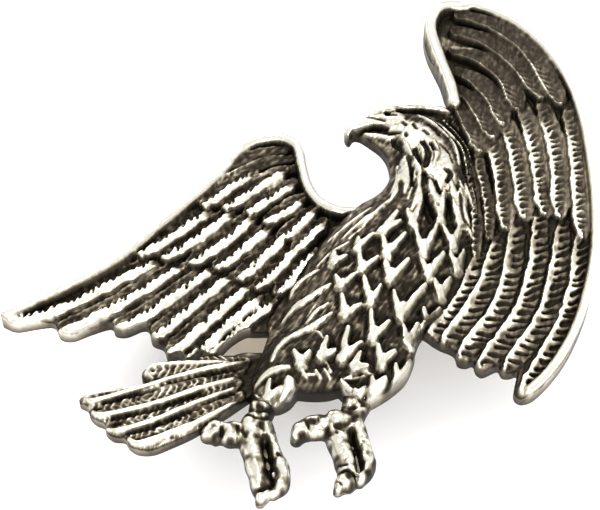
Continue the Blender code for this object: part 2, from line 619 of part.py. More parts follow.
def main():
    clear_scene()
    parts = new_collection("eagle_badge")
    tools = new_collection("casting_forms")
    looks = {name: make_material(name) for name in MATERIALS}

    casting, cutters = build_casting(parts, tools)
    finish_piece(casting, looks["antique_pewter"])
    shift = Vector((-BOX_CENTRE[0], -BOX_CENTRE[1], BACK_HEIGHT)) * MM
    for obj in [casting, *tools.objects, *cutters.objects]:
        obj.location += shift

    for side, (x, y) in POST_PLACES.items():
        origin = Vector((x, y, 0.0)) * MM + shift
        guide = bpy.data.objects.new(f"clutch_{side}_axis", None)
        guide.location = origin
        parts.objects.link(guide)
        finish_piece(build_post(side, parts, origin), looks["post_nickel"])
        finish_piece(build_solder(side, parts, origin), looks["solder"])
        moving = [
            (build_base_plate(side, parts, origin), "clutch_brass"),
            (build_cover(side, parts, cutters, origin), "clutch_brass"),
            (build_jaw(side, "a", parts, cutters, origin), "spring_brass"),
            (build_jaw(side, "b", parts, cutters, origin), "spring_brass"),
        ]
        bpy.context.view_layer.update()
        for obj, look in moving:
            finish_piece(obj, looks[look])
            obj.parent = guide
            obj.matrix_parent_inverse = guide.matrix_world.inverted()

    for obj in [*tools.objects, *cutters.objects]:
        obj.hide_render = True
        obj.display_type = "WIRE"


main()
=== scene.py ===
"""Cast eagle badge: sculpted relief, antique finish, posts and clutches.

The relief is drawn in millimetres on the casting's own plane (x to the
raised wing, y up, height above the flat back) and is placed on the CAD
casting's box.  Each form writes a height and a polish (0 dark patina,
1 bright metal) into height maps; the maps become closed meshes.  The polish
also holds painted light and shade: on the rim walls, at the tail's root,
round the breast scales and beside the tail's rails.
"""
import json
import math

import bpy
import numpy as np
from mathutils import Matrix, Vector


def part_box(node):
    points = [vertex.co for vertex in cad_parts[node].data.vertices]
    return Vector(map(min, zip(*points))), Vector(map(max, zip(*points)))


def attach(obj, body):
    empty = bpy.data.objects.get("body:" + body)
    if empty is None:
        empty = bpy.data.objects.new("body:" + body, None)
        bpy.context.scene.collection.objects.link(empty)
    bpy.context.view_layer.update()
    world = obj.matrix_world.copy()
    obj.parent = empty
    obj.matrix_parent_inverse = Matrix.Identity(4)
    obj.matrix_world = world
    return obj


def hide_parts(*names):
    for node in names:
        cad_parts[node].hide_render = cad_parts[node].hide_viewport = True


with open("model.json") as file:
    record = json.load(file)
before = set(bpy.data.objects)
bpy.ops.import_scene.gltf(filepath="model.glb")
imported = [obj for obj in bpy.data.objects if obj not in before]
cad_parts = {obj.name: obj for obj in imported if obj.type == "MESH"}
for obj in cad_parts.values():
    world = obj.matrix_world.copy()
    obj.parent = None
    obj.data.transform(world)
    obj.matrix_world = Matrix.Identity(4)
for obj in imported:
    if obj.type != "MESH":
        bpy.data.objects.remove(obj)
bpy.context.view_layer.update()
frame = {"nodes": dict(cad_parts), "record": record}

MM = 0.001
STEP = 0.08  # grid spacing of the relief, mm
EDGE = 0.30  # rounding of the casting's rim, mm

# The drawing's right and top limits, in mm, lie on the CAD casting's box.
DRAWN_RIGHT, DRAWN_TOP = 26.32, 27.30
CAST_LOW, CAST_HIGH = (Vector(c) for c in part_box("eagle_casting"))
SHIFT = Vector((CAST_HIGH.x / MM - DRAWN_RIGHT, CAST_HIGH.y / MM - DRAWN_TOP, CAST_LOW.z / MM))

# ----------------------------------------------------------------- drawing
LEFT_WING = [
    (-25.5, -5.8), (-23.4, -4.8), (-19.9, -2.9), (-17.5, -1.6), (-15.2, 0.2), (-12.4, 3.2), (-10, 5.5),
    (-8.7, 6.8), (-7.4, 8.4), (-6, 10.4), (-4.8, 11.6), (-3.4, 12.2), (-1.6, 12.4), (-0.3, 11.8),
    (0.4, 10.6), (0.6, 9), (1, 7.3), (1.6, 6), (2.4, 5.2), (3.4, 4.75), (4.7, 4.8), (7, 4.2), (5, -2),
    (0, -5), (-3, -6.5), (-4.6, -7.1), (-5.9, -8), (-7.3, -9.5), (-8.4, -9.1), (-9.5, -9.9),
    (-10.2, -9.2), (-11.2, -9.5), (-11.6, -8.4), (-12.6, -7.9), (-12.9, -6.7), (-13.5, -6.5),
    (-14.8, -7.1), (-15.8, -7), (-16.2, -6.3), (-18, -6.9), (-19.4, -7.5), (-20.5, -7.3), (-21.1, -6.2),
    (-22.6, -6.3), (-24.2, -6.6), (-25.1, -6.3),
]
RIGHT_WING = [
    (13.3, 15.9), (13.1, 17.3), (12.8, 18.6), (12.2, 20.2), (11.7, 21.6), (11.4, 23.2), (11.5, 24.8),
    (12, 26.2), (13, 27), (14.6, 27.3), (16.4, 27), (18.2, 26.3), (20.2, 25), (21.8, 23.4), (23.2, 21.4),
    (24.4, 19), (25.2, 16.5), (25.8, 13.5), (26.2, 10), (26.3, 6.5), (26.1, 3), (25.7, -0.5),
    (25.1, -3.5), (24.2, -6.3), (22.8, -9.3), (21.2, -11.6), (19.6, -13.2), (18.5, -13.5), (18, -12.9),
    (18.2, -11.8), (18.4, -10.9), (17.7, -11.1), (17.1, -11), (16.8, -10.4), (16.1, -10.7), (15.4, -11),
    (14.9, -10.6), (14.7, -9.9), (14.1, -10.1), (13.4, -9.9), (13.2, -9.1), (12.7, -8.7), (12, -8.4),
    (10.8, -7.5), (8.5, -5), (9, 5), (11, 12), (11.6, 14.3),
]
BODY = [
    (4, 12.8), (4.1, 13.5), (4.9, 14.1), (6, 14.5), (6.3, 15), (7.2, 15.5), (8.5, 15.7), (10.2, 15.8),
    (12, 15.5), (13.6, 15.6), (15, 14), (15.6, 9), (15.6, 2), (14.5, -2), (12.5, -5.5), (10.6, -7.2),
    (9.9, -8.6), (9.7, -9.8), (9, -11.5), (8, -12.6), (6.8, -13.5), (5.6, -14.1), (4.4, -13.8),
    (3.5, -13.2), (2.9, -12.4), (1.8, -12), (0.6, -12.3), (-0.2, -13.1), (-0.9, -14), (-2, -14.5),
    (-3.2, -14.2), (-3.9, -13.3), (-4.1, -12), (-3.7, -10.6), (-3.1, -9), (-2.7, -7.4), (-2.7, -6),
    (-1, -3), (2, 1), (5, 4.7), (6.2, 5.4), (7.2, 6.3), (7.8, 7.5), (8, 8.8), (7.8, 10.2), (7.2, 11.3),
    (6.2, 12.2), (5.4, 12.8), (4.8, 12.9), (4.4, 12.3),
]
TAIL = [
    (-2.6, -9.7), (-5.5, -9.9), (-8, -9.9), (-10.5, -10), (-12.3, -10.1), (-13.3, -10.8), (-13.3, -11.6),
    (-12.7, -12.1), (-15, -12.6), (-17.2, -12.9), (-18.4, -13.2), (-18.5, -13.8), (-17.8, -14.2),
    (-17.6, -14.9), (-17, -15.5), (-16.3, -15.8), (-16.2, -16.4), (-15.5, -17), (-14.6, -17.1),
    (-14.2, -17.7), (-13.4, -18.2), (-12.2, -18.2), (-11, -17.7), (-9, -16.7), (-7, -15.4), (-5.6, -14.4),
    (-4, -13.2), (-2, -12),
]

# Rows of feathers, in mm.  A spine runs from root to tip; "reach" lengthens
# its root, "half" is its half width, "base" the height it lies at and "rise"
# its own height.  "tone" dims a row where it is given.
FEATHER_ROWS = {
    "left_wing": [
        {"kind": "comb", "reach": 0.55, "half": 1.08, "base": 1.3, "rise": 0.72, "feathers": [
            [(-12.9, -0.4), (-17.4, -3), (-21, -4.9), (-24.9, -6)],
            [(-11, -1.1), (-14.9, -3.9), (-18, -5.8), (-20.4, -7)],
            [(-8.2, -1.3), (-11.5, -4), (-13.7, -5.7), (-15.5, -6.7)],
            [(-6.6, -2), (-9.4, -4.6), (-11.2, -6.4), (-12.4, -7.4)],
            [(-5.1, -3.1), (-7.6, -5.6), (-9.6, -7.7), (-11, -9)],
            [(-4.1, -4.2), (-6.2, -6.2), (-8, -8.2), (-9.4, -9.5)],
            [(-2.9, -4.6), (-4.8, -6.2), (-6.2, -7.8), (-7.5, -9.1)],
        ]},
        {"kind": "comb", "reach": 0.55, "half": 1.04, "base": 1.65, "rise": 0.75, "feathers": [
            [(-8.7, 4.2), (-11.2, 2.2), (-13.7, 0.4)], [(-6.6, 4.1), (-9, 2), (-11.6, 0.1)],
            [(-4.7, 3.6), (-6.8, 1.5), (-9.2, -0.4)], [(-3.3, 2.6), (-5.2, 0.8), (-7, -0.9)],
            [(-2, 1.5), (-3.6, -0.2), (-5.1, -1.9)], [(-0.9, 0.4), (-2.2, -1.2), (-3.5, -2.8)],
            [(0.7, 0), (-0.7, -1.8), (-1.7, -3.3)],
        ]},
        {"kind": "smooth", "half": 0.62, "base": 1.75, "rise": 0.5, "feathers": [
            [(-1.3, 10.9), (-4.6, 9.9), (-8.6, 6.4)], [(-0.9, 10), (-3.6, 9.2), (-6.8, 7.3)],
            [(-0.6, 8.9), (-2.4, 8.2), (-4.2, 7.2)], [(-0.2, 7.4), (-1.2, 6.9), (-2.4, 6.2)],
            [(0.4, 6), (-0.4, 5.5), (-1.4, 4.9)],
        ]},
        {"kind": "comb", "reach": 0.55, "half": 0.92, "base": 1.95, "rise": 0.7, "tone": 0.98, "feathers": [
            [(-4.6, 8.1), (-6.4, 6.8), (-8.3, 5.2)], [(-1.9, 8.3), (-4.2, 6.6), (-6.4, 5)],
            [(-1.1, 7), (-2.8, 5.7), (-4.4, 4.5)], [(-0.3, 5.3), (-1.4, 4.4), (-2.8, 3.5)],
            [(0.7, 4.1), (-0.4, 2.9), (-1.6, 1.8)], [(1.6, 2.9), (0.6, 1.8), (-0.3, 0.7)],
        ]},
    ],
    "right_wing": [
        {"kind": "ladder", "reach": 1.3, "half": 0.93, "base": 1.3, "rise": 0.72, "tone": 0.95, "feathers": [
            [(24.5, 1.2), (23.9, -2.8), (22.3, -7.2), (18.9, -13)],
            [(22.9, 2.2), (22.3, -1.6), (20.8, -6.2), (17.7, -10.6)],
            [(21, 3.2), (20.5, -1), (18.9, -5.8), (15.5, -10.5)],
            [(18.9, 2.2), (18.3, -1.6), (16.8, -5.6), (13.9, -9.5)],
            [(17, 0.4), (16.2, -2.5), (14.6, -5.6), (12.6, -8.2)],
            [(15.3, -1), (14.2, -3.8), (12.6, -6.2), (11.4, -7.6)],
        ]},
        {"kind": "band", "reach": 0.9, "half": 0.97, "base": 1.65, "rise": 0.66, "feathers": [
            [(24.4, 14.8), (24.8, 10.6), (24.8, 6.8), (24.7, 2.4)],
            [(22, 15.4), (22.8, 12), (23.05, 8), (22.85, 4.4)],
            [(20.3, 14.9), (21, 12), (21.4, 8), (21.6, 4.6)],
            [(18.6, 13.7), (19.3, 11), (19.65, 7.5), (19.8, 4.2)],
            [(17.3, 12), (17.85, 9.2), (18, 6.5), (18.1, 3.2)],
        ]},
        {"kind": "band", "reach": 0.9, "half": 0.56, "base": 1.65, "rise": 0.6, "tone": 0.62, "feathers": [
            [(15.9, 10.4), (16.3, 7.4), (16.6, 4.8), (16.5, 2)],
            [(15, 9.4), (15.3, 6.4), (15.5, 3.2), (15.3, 0.3)],
        ]},
        {"kind": "smooth", "half": 1.12, "base": 1.8, "rise": 0.62, "feathers": [
            [(14.8, 25.6), (18.6, 24), (21.4, 21), (23.4, 16.2)],
            [(14.4, 23.8), (17.6, 22.4), (20.1, 19.9), (21.7, 16.8)],
            [(14.2, 21.6), (16.9, 20.5), (18.9, 18.3), (19.6, 15.6)],
            [(14.4, 19.3), (16.3, 18), (17.7, 16.1), (18.2, 14.1)],
            [(14.5, 17.2), (15.9, 15.7), (16.8, 13.9), (17.2, 12.6)],
            [(14.4, 15.4), (15.2, 13.8), (15.9, 12.2), (16.1, 11.1)],
        ]},
    ],
    "tail": [
        {"kind": "web", "half": 1.05, "base": 1.1, "rise": 0.46, "feathers": [
            [(-4.8, -10.2), (-9, -10.4), (-12.4, -11)], [(-5.2, -10.9), (-11, -12.6), (-17.6, -13.9)],
            [(-5.4, -12.1), (-10.4, -13.9), (-16.6, -15.3)],
            [(-5.2, -13.4), (-9.6, -15.3), (-15.2, -16.8)], [(-5, -14.2), (-8.8, -16.2), (-13.2, -17.7)],
        ]},
    ],
}
# Round beads: (spine, half width, height of the crown, polish).
BEADS = {
    "left_wing": [
        ([(-25.2, -5.9), (-22, -4.2), (-18.6, -2.3), (-15, 0.2), (-12.2, 3), (-9.8, 5.3), (-7.2, 8.1),
            (-5.4, 10.6), (-3.6, 11.7), (-1.7, 11.9), (-0.3, 11.1), (0.2, 9), (0.7, 6.9), (1.8, 5.2),
            (3.4, 4.4), (5.2, 4.6)], 0.55, 2.75, 1),
    ],
    "right_wing": [
        ([(13.9, 15.6), (13.6, 17.6), (13, 19.6), (12.4, 21.8), (12, 23.8), (12.4, 25.5), (13.5, 26.45),
            (15.4, 26.6)], 0.6, 2.9, 0.84),
        ([(13.6, 17.2), (13.1, 19.2), (12.3, 21.6), (11.8, 23.6), (12, 25.4)], 0.34, 2.75, 0.8),
        ([(13.4, 26.7), (16.2, 26.6), (19.6, 24.9), (22.4, 22), (24.4, 18), (25.5, 13), (25.9, 7),
            (25.7, 1.5), (24.8, -3.2), (23.3, -7.5), (21.2, -11), (19.2, -13.1)], 0.46, 2.45, 1),
    ],
}

# Rubbed spot where the right wing's top feathers meet the bead.
WORN_PATCH_POLISH = 0.50
WORN_PATCH = [(13, 23.2, 0.6), (14, 22.5, 0.95), (15.6, 22, 0.5)]
# The tail's rails, brighter and rounder than the webs between them, and
# the shadows beside them: (spine, half width).  Rails up to THIN_RAIL
# wide are low and dull.
THIN_RAIL = 0.2
TAIL_RAILS = [
    ([(-4.6, -10.2), (-6.4, -10.6), (-9, -11.2), (-13, -12.5), (-16.2, -13.6), (-17.4, -13.9),
        (-17.9, -13.6)], 0.27),
    ([(-5.6, -11.8), (-8.6, -12.8), (-12, -14.1), (-15, -14.9), (-16.7, -15.2), (-17.3, -14.8)], 0.31),
    ([(-5.6, -12.7), (-9, -14.2), (-12.4, -15.8), (-15, -16.6), (-16, -16.4)], 0.3),
    ([(-5.2, -14), (-6.6, -14.8), (-9, -16.1), (-11.8, -17.3), (-13.4, -17.8), (-14.2, -17.3)], 0.34),
    ([(-12.6, -12), (-15.6, -12.7), (-18.2, -13.3)], 0.22),
    ([(-6, -10.2), (-9.4, -10.3), (-12.2, -10.5), (-12.9, -11.2), (-12.4, -11.7)], 0.24),
    ([(-5.6, -12.2), (-7.4, -12.4), (-10.6, -13.2), (-13.6, -14)], 0.11),
    ([(-5.8, -13.4), (-8.4, -14.4), (-11.6, -15.4)], 0.11),
    ([(-6.4, -11.3), (-9.8, -12), (-13.4, -13.1)], 0.11),
]
# Painted shade: the tail darkens from the second x to the first, where it joins the body and lies in its
# shade.
TAIL_ROOT_SHADE = (-4.4, -6.6)
RAIL_SHADOWS = [
    ([(-5, -10.8), (-9, -11.7), (-13, -13), (-16.4, -14)], 0.19),
    ([(-8.4, -13.2), (-12, -14.6), (-15.6, -15.5)], 0.2),
    ([(-5.6, -13.1), (-9, -14.7), (-12.4, -16.3), (-15, -17)], 0.2),
    ([(-4.6, -14.1), (-5.6, -14.9)], 0.3),
]

# The torso and neck, one tube with half widths.
BODY_SPINE = [
    (2.8, -11.3, 2.9), (3.2, -9.6, 4.9), (4.2, -6.8, 6.2), (6.2, -3.2, 6.7), (8.4, 0.6, 6.5),
    (10.4, 4.4, 5.2), (11.6, 8, 3.9), (11.3, 11, 3.4), (10.2, 13, 2.7), (8.7, 13.9, 1.9),
]
BODY_FLAT = 0.60  # height factor of the torso
BODY_LEVEL = 0.50  # height it starts from, mm
BODY_PLATE = 1.6  # least thickness, mm
BODY_POLISH = 0.24
# Thighs and nape: level, height factor, polish, spine with half widths.
BODY_FORMS = [
    (1, 0.95, 0.12, [(1.4, -7.6, 2), (0.4, -9.2, 2.7), (-0.9, -11, 2.8), (-2, -12.8, 2.1),
        (-2.4, -13.9, 1.3)]),
    (1, 0.9, 0.12, [(7, -7.4, 2.4), (7.2, -9.2, 3), (6.8, -10.8, 2.9), (5.8, -12.4, 2.2),
        (5.2, -13.4, 1.4)]),
    (1, 0.72, 0.12, [(9.2, 13.6, 1.9), (10.6, 12.2, 2.8), (11.6, 9.6, 3), (12, 7, 3.1),
        (11.4, 4.5, 3.6)]),
]
# Upper and lower beak, in the same terms.
BEAK_FORMS = [
    (1.7, 1, 1, [(8.8, 14, 0.85), (7.6, 14.1, 0.72), (6.3, 13.9, 0.62), (5.2, 13.5, 0.56),
        (4.4, 13, 0.42), (4.15, 12.45, 0.2)]),
    (1.6, 1.1, 0.9, [(8.8, 12.2, 0.42), (8, 12.2, 0.34), (6.9, 12.55, 0.28), (5.7, 12.65, 0.2)]),
]
# Lower edge of the belly between the thighs, in the same terms.
BELLY_EDGE = (1.5, 1.35, 0.1, [(-2, -11.5, 1.1), (0.2, -11.9, 1.25), (2, -12, 1.2), (3.3, -11.8, 1)])
# The metal runs a little further at the roots beside the body.
ROOT_EDGES = {
    "left_wing": [(0.8, 0.5, 0.2, [(-5.4, -6.7, 0.3), (-3.9, -6.5, 0.6), (-2.3, -6.4, 0.65)])],
    "tail": [
        (1, 0.5, 0.5, [(-2.8, -9.5, 0.6), (-4.2, -9.6, 0.62), (-6.9, -9.8, 0.4), (-8.4, -9.9, 0.3)]),
    ],
}
# Round forms of each leg and foot, in the same terms as the body's.
LEG_FORMS = {
    "leg_left": [
        (0.9, 1, 0.25, [(-2.9, -13.2, 1.3), (-3.4, -14.9, 1.05), (-3.7, -16.4, 1.1)]),
        (0.2, 0.7, 0.08, [(-3.5, -16.4, 1.1), (-2.9, -18.6, 1.2), (-2.6, -20.2, 1.1),
            (-2.6, -21.4, 0.7)]),
        (0.8, 1.2, 1, [(-3.9, -16.6, 1.1), (-5, -16.6, 0.92), (-5.8, -16.5, 1.06), (-6.5, -16.4, 0.84),
            (-7.2, -16.4, 0.98), (-7.7, -16.5, 0.66)]),
        (0.8, 1.55, 1, [(-4, -15.8, 1.05), (-4.1, -17.4, 0.98), (-3.9, -18.5, 0.82), (-3.7, -19.3, 0.9),
            (-3.5, -20.2, 0.76), (-3.3, -21, 0.84), (-3.1, -21.9, 0.72), (-3.3, -22.6, 0.4)]),
        (0.7, 1.35, 0.85, [(-2.9, -15.9, 0.75), (-2.3, -17.6, 0.58), (-1.9, -18.6, 0.55),
            (-1.6, -19.5, 0.74), (-1.4, -20.4, 0.62), (-1.6, -21.2, 0.66), (-2.2, -21.9, 0.4)]),
    ],
    "leg_right": [
        (0.9, 1, 0.25, [(5, -12.9, 1.4), (4.5, -14.4, 1.1), (4, -15.6, 1.1)]),
        (0.2, 0.7, 0.08, [(4, -15.8, 1.1), (4.4, -17.6, 1.2), (4.7, -19.2, 1.1), (4.6, -20.4, 0.8)]),
        (0.8, 1.25, 0.95, [(3, -16, 1.15), (1.9, -15.9, 0.95), (1.2, -15.9, 1), (0.5, -16.1, 0.86),
            (0, -16.4, 0.86), (-0.3, -16.9, 0.55)]),
        (0.8, 1.55, 1, [(3, -15.6, 1.05), (3.1, -17, 0.95), (3.5, -18.2, 0.86), (3.8, -19.2, 0.94),
            (3.9, -20, 0.8), (3.8, -20.8, 0.92), (3.4, -21.2, 0.7), (3.1, -21.6, 0.4)]),
        (0.7, 1.35, 0.75, [(4.6, -15.7, 0.85), (5.1, -17, 0.72), (5.4, -18.1, 0.66), (5.6, -19.1, 0.74),
            (5.4, -20, 0.64), (4.9, -20.8, 0.44)]),
    ],
}

# Breast drawing.  It is laid on a plane that leans with the dome, so a mark
# slides down the body by LEAN times its height above PLANE.
LEAN = 0.577
PLANE = 2.0
DRAPE_PASSES = 6
# Each scale is a V: end of one arm, tip, end of the other arm.
BREAST_SCALES = [
    [(3, -2.2), (3.5, -3.2), (4.8, -2)], [(2.9, 0.2), (2.9, -0.9), (4, -0.3)],
    [(5, 0.3), (5.2, -1.6), (6.7, -0.4)], [(5.4, -2.2), (5.9, -4.8), (6.9, -3.1)],
    [(7.2, -0.3), (7.6, -2.6), (9.3, -0.6)], [(10.3, -0.4), (10.9, -2.2), (12.4, 0.1)],
    [(11.4, -2.5), (12, -4.1), (12.9, -2.5)], [(7.9, -3.6), (8.4, -6.2), (10.8, -3)],
    [(3.5, -4), (3.8, -6), (5.2, -5)], [(6, -5.4), (6.1, -8.2), (7.6, -6.6)],
    [(8.7, -7), (9.1, -8.7), (10, -6.9)], [(10.5, -5.4), (10.8, -7.1), (12, -5.5)],
    [(4.1, -7), (3.5, -10.2), (5.2, -8.6)], [(2.3, -8.1), (1.8, -10), (3, -9.4)],
    [(-0.5, -9.4), (0.1, -10.6), (0.9, -9.5)], [(6.5, -8.8), (6.8, -10.6), (8, -9.4)],
    [(5.1, -9.5), (4.5, -11.1), (5.7, -10.9)], [(8, -10.7), (8.2, -12.6), (9.4, -10.4)],
    [(6, -12), (6.1, -13.3), (7.2, -12)], [(9.9, 2.6), (10.5, -0.1), (12, 3.1)],
    [(12.9, 0.1), (13.5, -1.6), (14.2, 0.3)], [(12.3, 2.8), (13.2, 0.6), (13.9, 2.8)],
    [(7.1, 1.7), (7.4, -0.2), (9.1, 2)], [(8.5, 4.3), (7.1, 2.1), (8.7, 3.2)],
    [(9.3, 4.4), (9.7, 2.8), (10.5, 5)], [(11.2, 6), (12.1, 3.3), (12.5, 6)],
    [(12.9, 6.2), (13.9, 3.1), (14.1, 6.6)], [(5, 1.5), (4.9, 0.4), (6.3, 1.9)],
    [(3.4, -12.3), (4.6, -13.7), (5.7, -12.9)], [(-2.5, -12.2), (-2.9, -14.2), (-1, -12.6)],
    [(-0.2, -13.8), (-0.9, -12.6), (-1.9, -15.4)],
]
# Rubbed spot on the left knee, with half widths.
KNEE_WEAR = [(-3.1, -13.1, 0.6), (-2.3, -13.9, 0.85), (-1.3, -13.5, 0.55)]
# Long streaks: (spine, half width).
BREAST_STREAKS = [
    ([(0.2, -11.2), (0.5, -11.8)], 0.34), ([(1.3, -11.2), (1.7, -11.9)], 0.4),
    ([(2.3, -10.6), (2.6, -11.3)], 0.34), ([(1.6, -1.5), (0.2, -2.5), (-0.6, -3.6), (-0.9, -4.4)], 0.2),
    ([(2.6, -2.9), (0.9, -4.2), (-0.6, -5.4), (-1.5, -6.7)], 0.3),
    ([(2.7, -5.7), (1.5, -6.7), (0, -7.6), (-1.5, -8.6), (-2.4, -10.3)], 0.3),
    ([(-0.9, -10.8), (-2.6, -11.4), (-3.8, -12.8)], 0.34),
    ([(2.4, -4.7), (1.3, -5.6), (0.5, -6.7)], 0.18), ([(1.3, -4.9), (0.6, -6)], 0.15),
    ([(2.2, -8.6), (1.6, -7.6), (1, -7.4)], 0.14), ([(7.4, 4.9), (5.6, 3.5), (3.6, 1.6)], 0.17),
    ([(6.2, 4.8), (4.4, 3.2), (2.4, 1.3)], 0.15), ([(8.2, 5.9), (6.9, 4.6), (5.4, 2.8)], 0.19),
    ([(4.2, 1.3), (2.7, 0.2), (1.4, -1.2)], 0.15), ([(5.6, 2.9), (4.2, 1.6)], 0.14),
    ([(8.6, 8), (8.4, 6.4), (7.7, 5.2)], 0.22), ([(9, 9.6), (9.1, 8.2), (9.3, 7)], 0.34),
    ([(10.9, 7.6), (10.7, 6.2), (10.4, 5), (9.9, 3.6)], 0.3), ([(9.8, 6.8), (9.4, 5.6)], 0.22),
    ([(10.1, 10), (10.3, 9), (10.8, 8)], 0.3), ([(14.3, 3.4), (14.8, 2.2), (15.2, 1.1)], 0.22),
    ([(14.6, 7.2), (14.9, 5.8), (15.3, 4.3)], 0.24), ([(15.1, 7.4), (15.5, 5), (15.6, 2.4)], 0.16),
    ([(-3.9, -13.7), (-2.9, -14.8), (-1.6, -15.6)], 0.5),
    ([(5.3, -14.3), (6.4, -14.2), (7.6, -13.4)], 0.36), ([(9.5, -10.4), (9, -11.9), (7.9, -13.2)], 0.18),
    ([(4, -12), (5.4, -11.7)], 0.16), ([(3.2, -12.4), (4.8, -11.4), (6.2, -11.6)], 0.13),
    ([(0.2, -11.6), (1.4, -11.5)], 0.2), ([(2, -11), (2.5, -11.9)], 0.24),
]
# Head and neck are read on a higher plane of the same leaning drawing.
NECK_PLANE = 3.5
# Worn bright ground: (polish, spine with half widths).
NECK_WEAR = [
    (0.86, [(8, 12.9, 0.8), (9.2, 12.3, 1.2), (10.4, 11.4, 1.8), (11.9, 9.4, 2), (12.4, 7.6, 1.6),
        (12.8, 6.4, 1.2)]),
    (0.8, [(6.4, 14, 0.5), (7.4, 13.9, 0.6), (8.6, 13.6, 0.7)]),
]
# Bright strands: (spine, half width).
NECK_STRANDS = [
    ([(8.3, 14.5), (8.6, 14)], 0.24), ([(9.2, 9.1), (9.4, 7.8), (9.4, 6.4), (9.1, 5.4)], 0.3),
    ([(8.6, 8.2), (8.6, 6.8), (8, 5.4)], 0.2), ([(9.9, 8.6), (10, 7.4), (9.9, 6.6)], 0.2),
    ([(10.5, 7.6), (10.5, 6.2), (10.2, 4.8), (9.5, 3.3)], 0.34),
    ([(11.4, 7.2), (11.5, 6), (11.9, 4.7), (12.5, 3.1)], 0.42),
    ([(12.6, 6), (12.5, 4.8), (12.2, 3.8)], 0.26),
    ([(13.2, 6.8), (13.5, 5.2), (13.7, 3.8), (13.8, 2.3)], 0.4),
    ([(14.1, 6.6), (14.4, 5.2), (14.4, 3.8), (14.9, 1.9)], 0.3),
    ([(11.9, 13.1), (13.2, 11.8), (14.3, 10.3), (14.7, 8.8), (14.8, 7.4)], 0.2),
    ([(12.9, 13.1), (14.1, 11.6), (15, 9.9), (15.25, 8)], 0.18),
    ([(10.6, 13.6), (12, 12.6), (13.4, 11.2), (14, 9.7), (14.1, 8.4)], 0.24),
    ([(9, 11), (9.4, 10.2), (9.8, 9.4)], 0.26), ([(10.6, 10.6), (10.9, 9.6), (10.8, 8.6)], 0.22),
    ([(11.9, 10.9), (12.1, 9.6), (11.8, 8.4)], 0.3),
]
# Crown bead and the groove under it, in true places.
CROWN = [(6.2, 14.5), (7.2, 15.05), (8.4, 15.3), (10.4, 15.42), (12.4, 15.3), (13.5, 15.1)]
CROWN_GROOVE = [(8.9, 14.95), (10.4, 14.95), (12, 14.85), (13.4, 14.4)]
# Dark cuts: (spine, half width, depth).
NECK_CUTS = [
    ([(7.6, 14.3), (7.9, 13.8)], 0.26, 0.65), ([(8.25, 13.75), (8.6, 13.7)], 0.15, 0.4),
    ([(6, 13.4), (6.9, 13.3), (7.6, 13.1)], 0.11, 0.25),
    ([(4.7, 11.5), (5.4, 12), (6.7, 12.3), (7.8, 12.2)], 0.15, 0.5),
    ([(7, 11.95), (8, 11.75), (8.9, 11.8)], 0.12, 0.3), ([(8.3, 11), (8.5, 10.4), (9.1, 9.8)], 0.16, 0.4),
    ([(9.2, 12.9), (9.5, 12.6)], 0.12, 0.18), ([(9.4, 11.7), (9.5, 11.4)], 0.14, 0.2),
    ([(8.8, 10.8), (9.1, 10.4)], 0.12, 0.2), ([(10.1, 12.7), (10.4, 12.2)], 0.12, 0.25),
    ([(11, 12), (11.4, 11.6)], 0.14, 0.28), ([(11.4, 12.6), (12, 12.1), (12.4, 11.5)], 0.12, 0.3),
    ([(10.2, 10), (10.3, 9.4), (10.6, 8.6)], 0.2, 0.45),
    ([(10.9, 10.7), (11.3, 9.8), (11.3, 9.2), (11.1, 8.4)], 0.25, 0.5),
    ([(11.6, 10.6), (11.9, 9.9), (12.1, 9.7)], 0.14, 0.3),
    ([(12.9, 7.9), (13.25, 7.4), (13, 6.7)], 0.23, 0.45), ([(11.3, 6.9), (11.6, 6.7)], 0.14, 0.25),
    ([(11.8, 6.6), (12.1, 5.4)], 0.2, 0.4), ([(9.9, 7.9), (9.8, 6.2)], 0.16, 0.35),
    ([(10.9, 7.4), (10.8, 6), (10.9, 4.8)], 0.2, 0.4),
    ([(11.2, 4.6), (11.2, 3.6), (11.4, 2.8)], 0.46, 0.5), ([(13, 5), (13, 3.6), (12.8, 2.8)], 0.26, 0.4),
    ([(14.05, 5), (14.1, 3.4), (14.3, 2.2)], 0.18, 0.35),
    ([(11.5, 13.3), (12.7, 12.1), (14, 10.4), (14.4, 8.9), (14.5, 7.5)], 0.14, 0.4),
    ([(12.4, 13.4), (13.7, 11.8), (14.7, 10.1), (15, 8.2)], 0.14, 0.4),
    ([(13.3, 13), (14.5, 11.3), (15.3, 9.6), (15.5, 7.4)], 0.16, 0.4),
    ([(12.4, 10.6), (13.2, 9.6), (13.5, 8.6)], 0.1, 0.22),
]
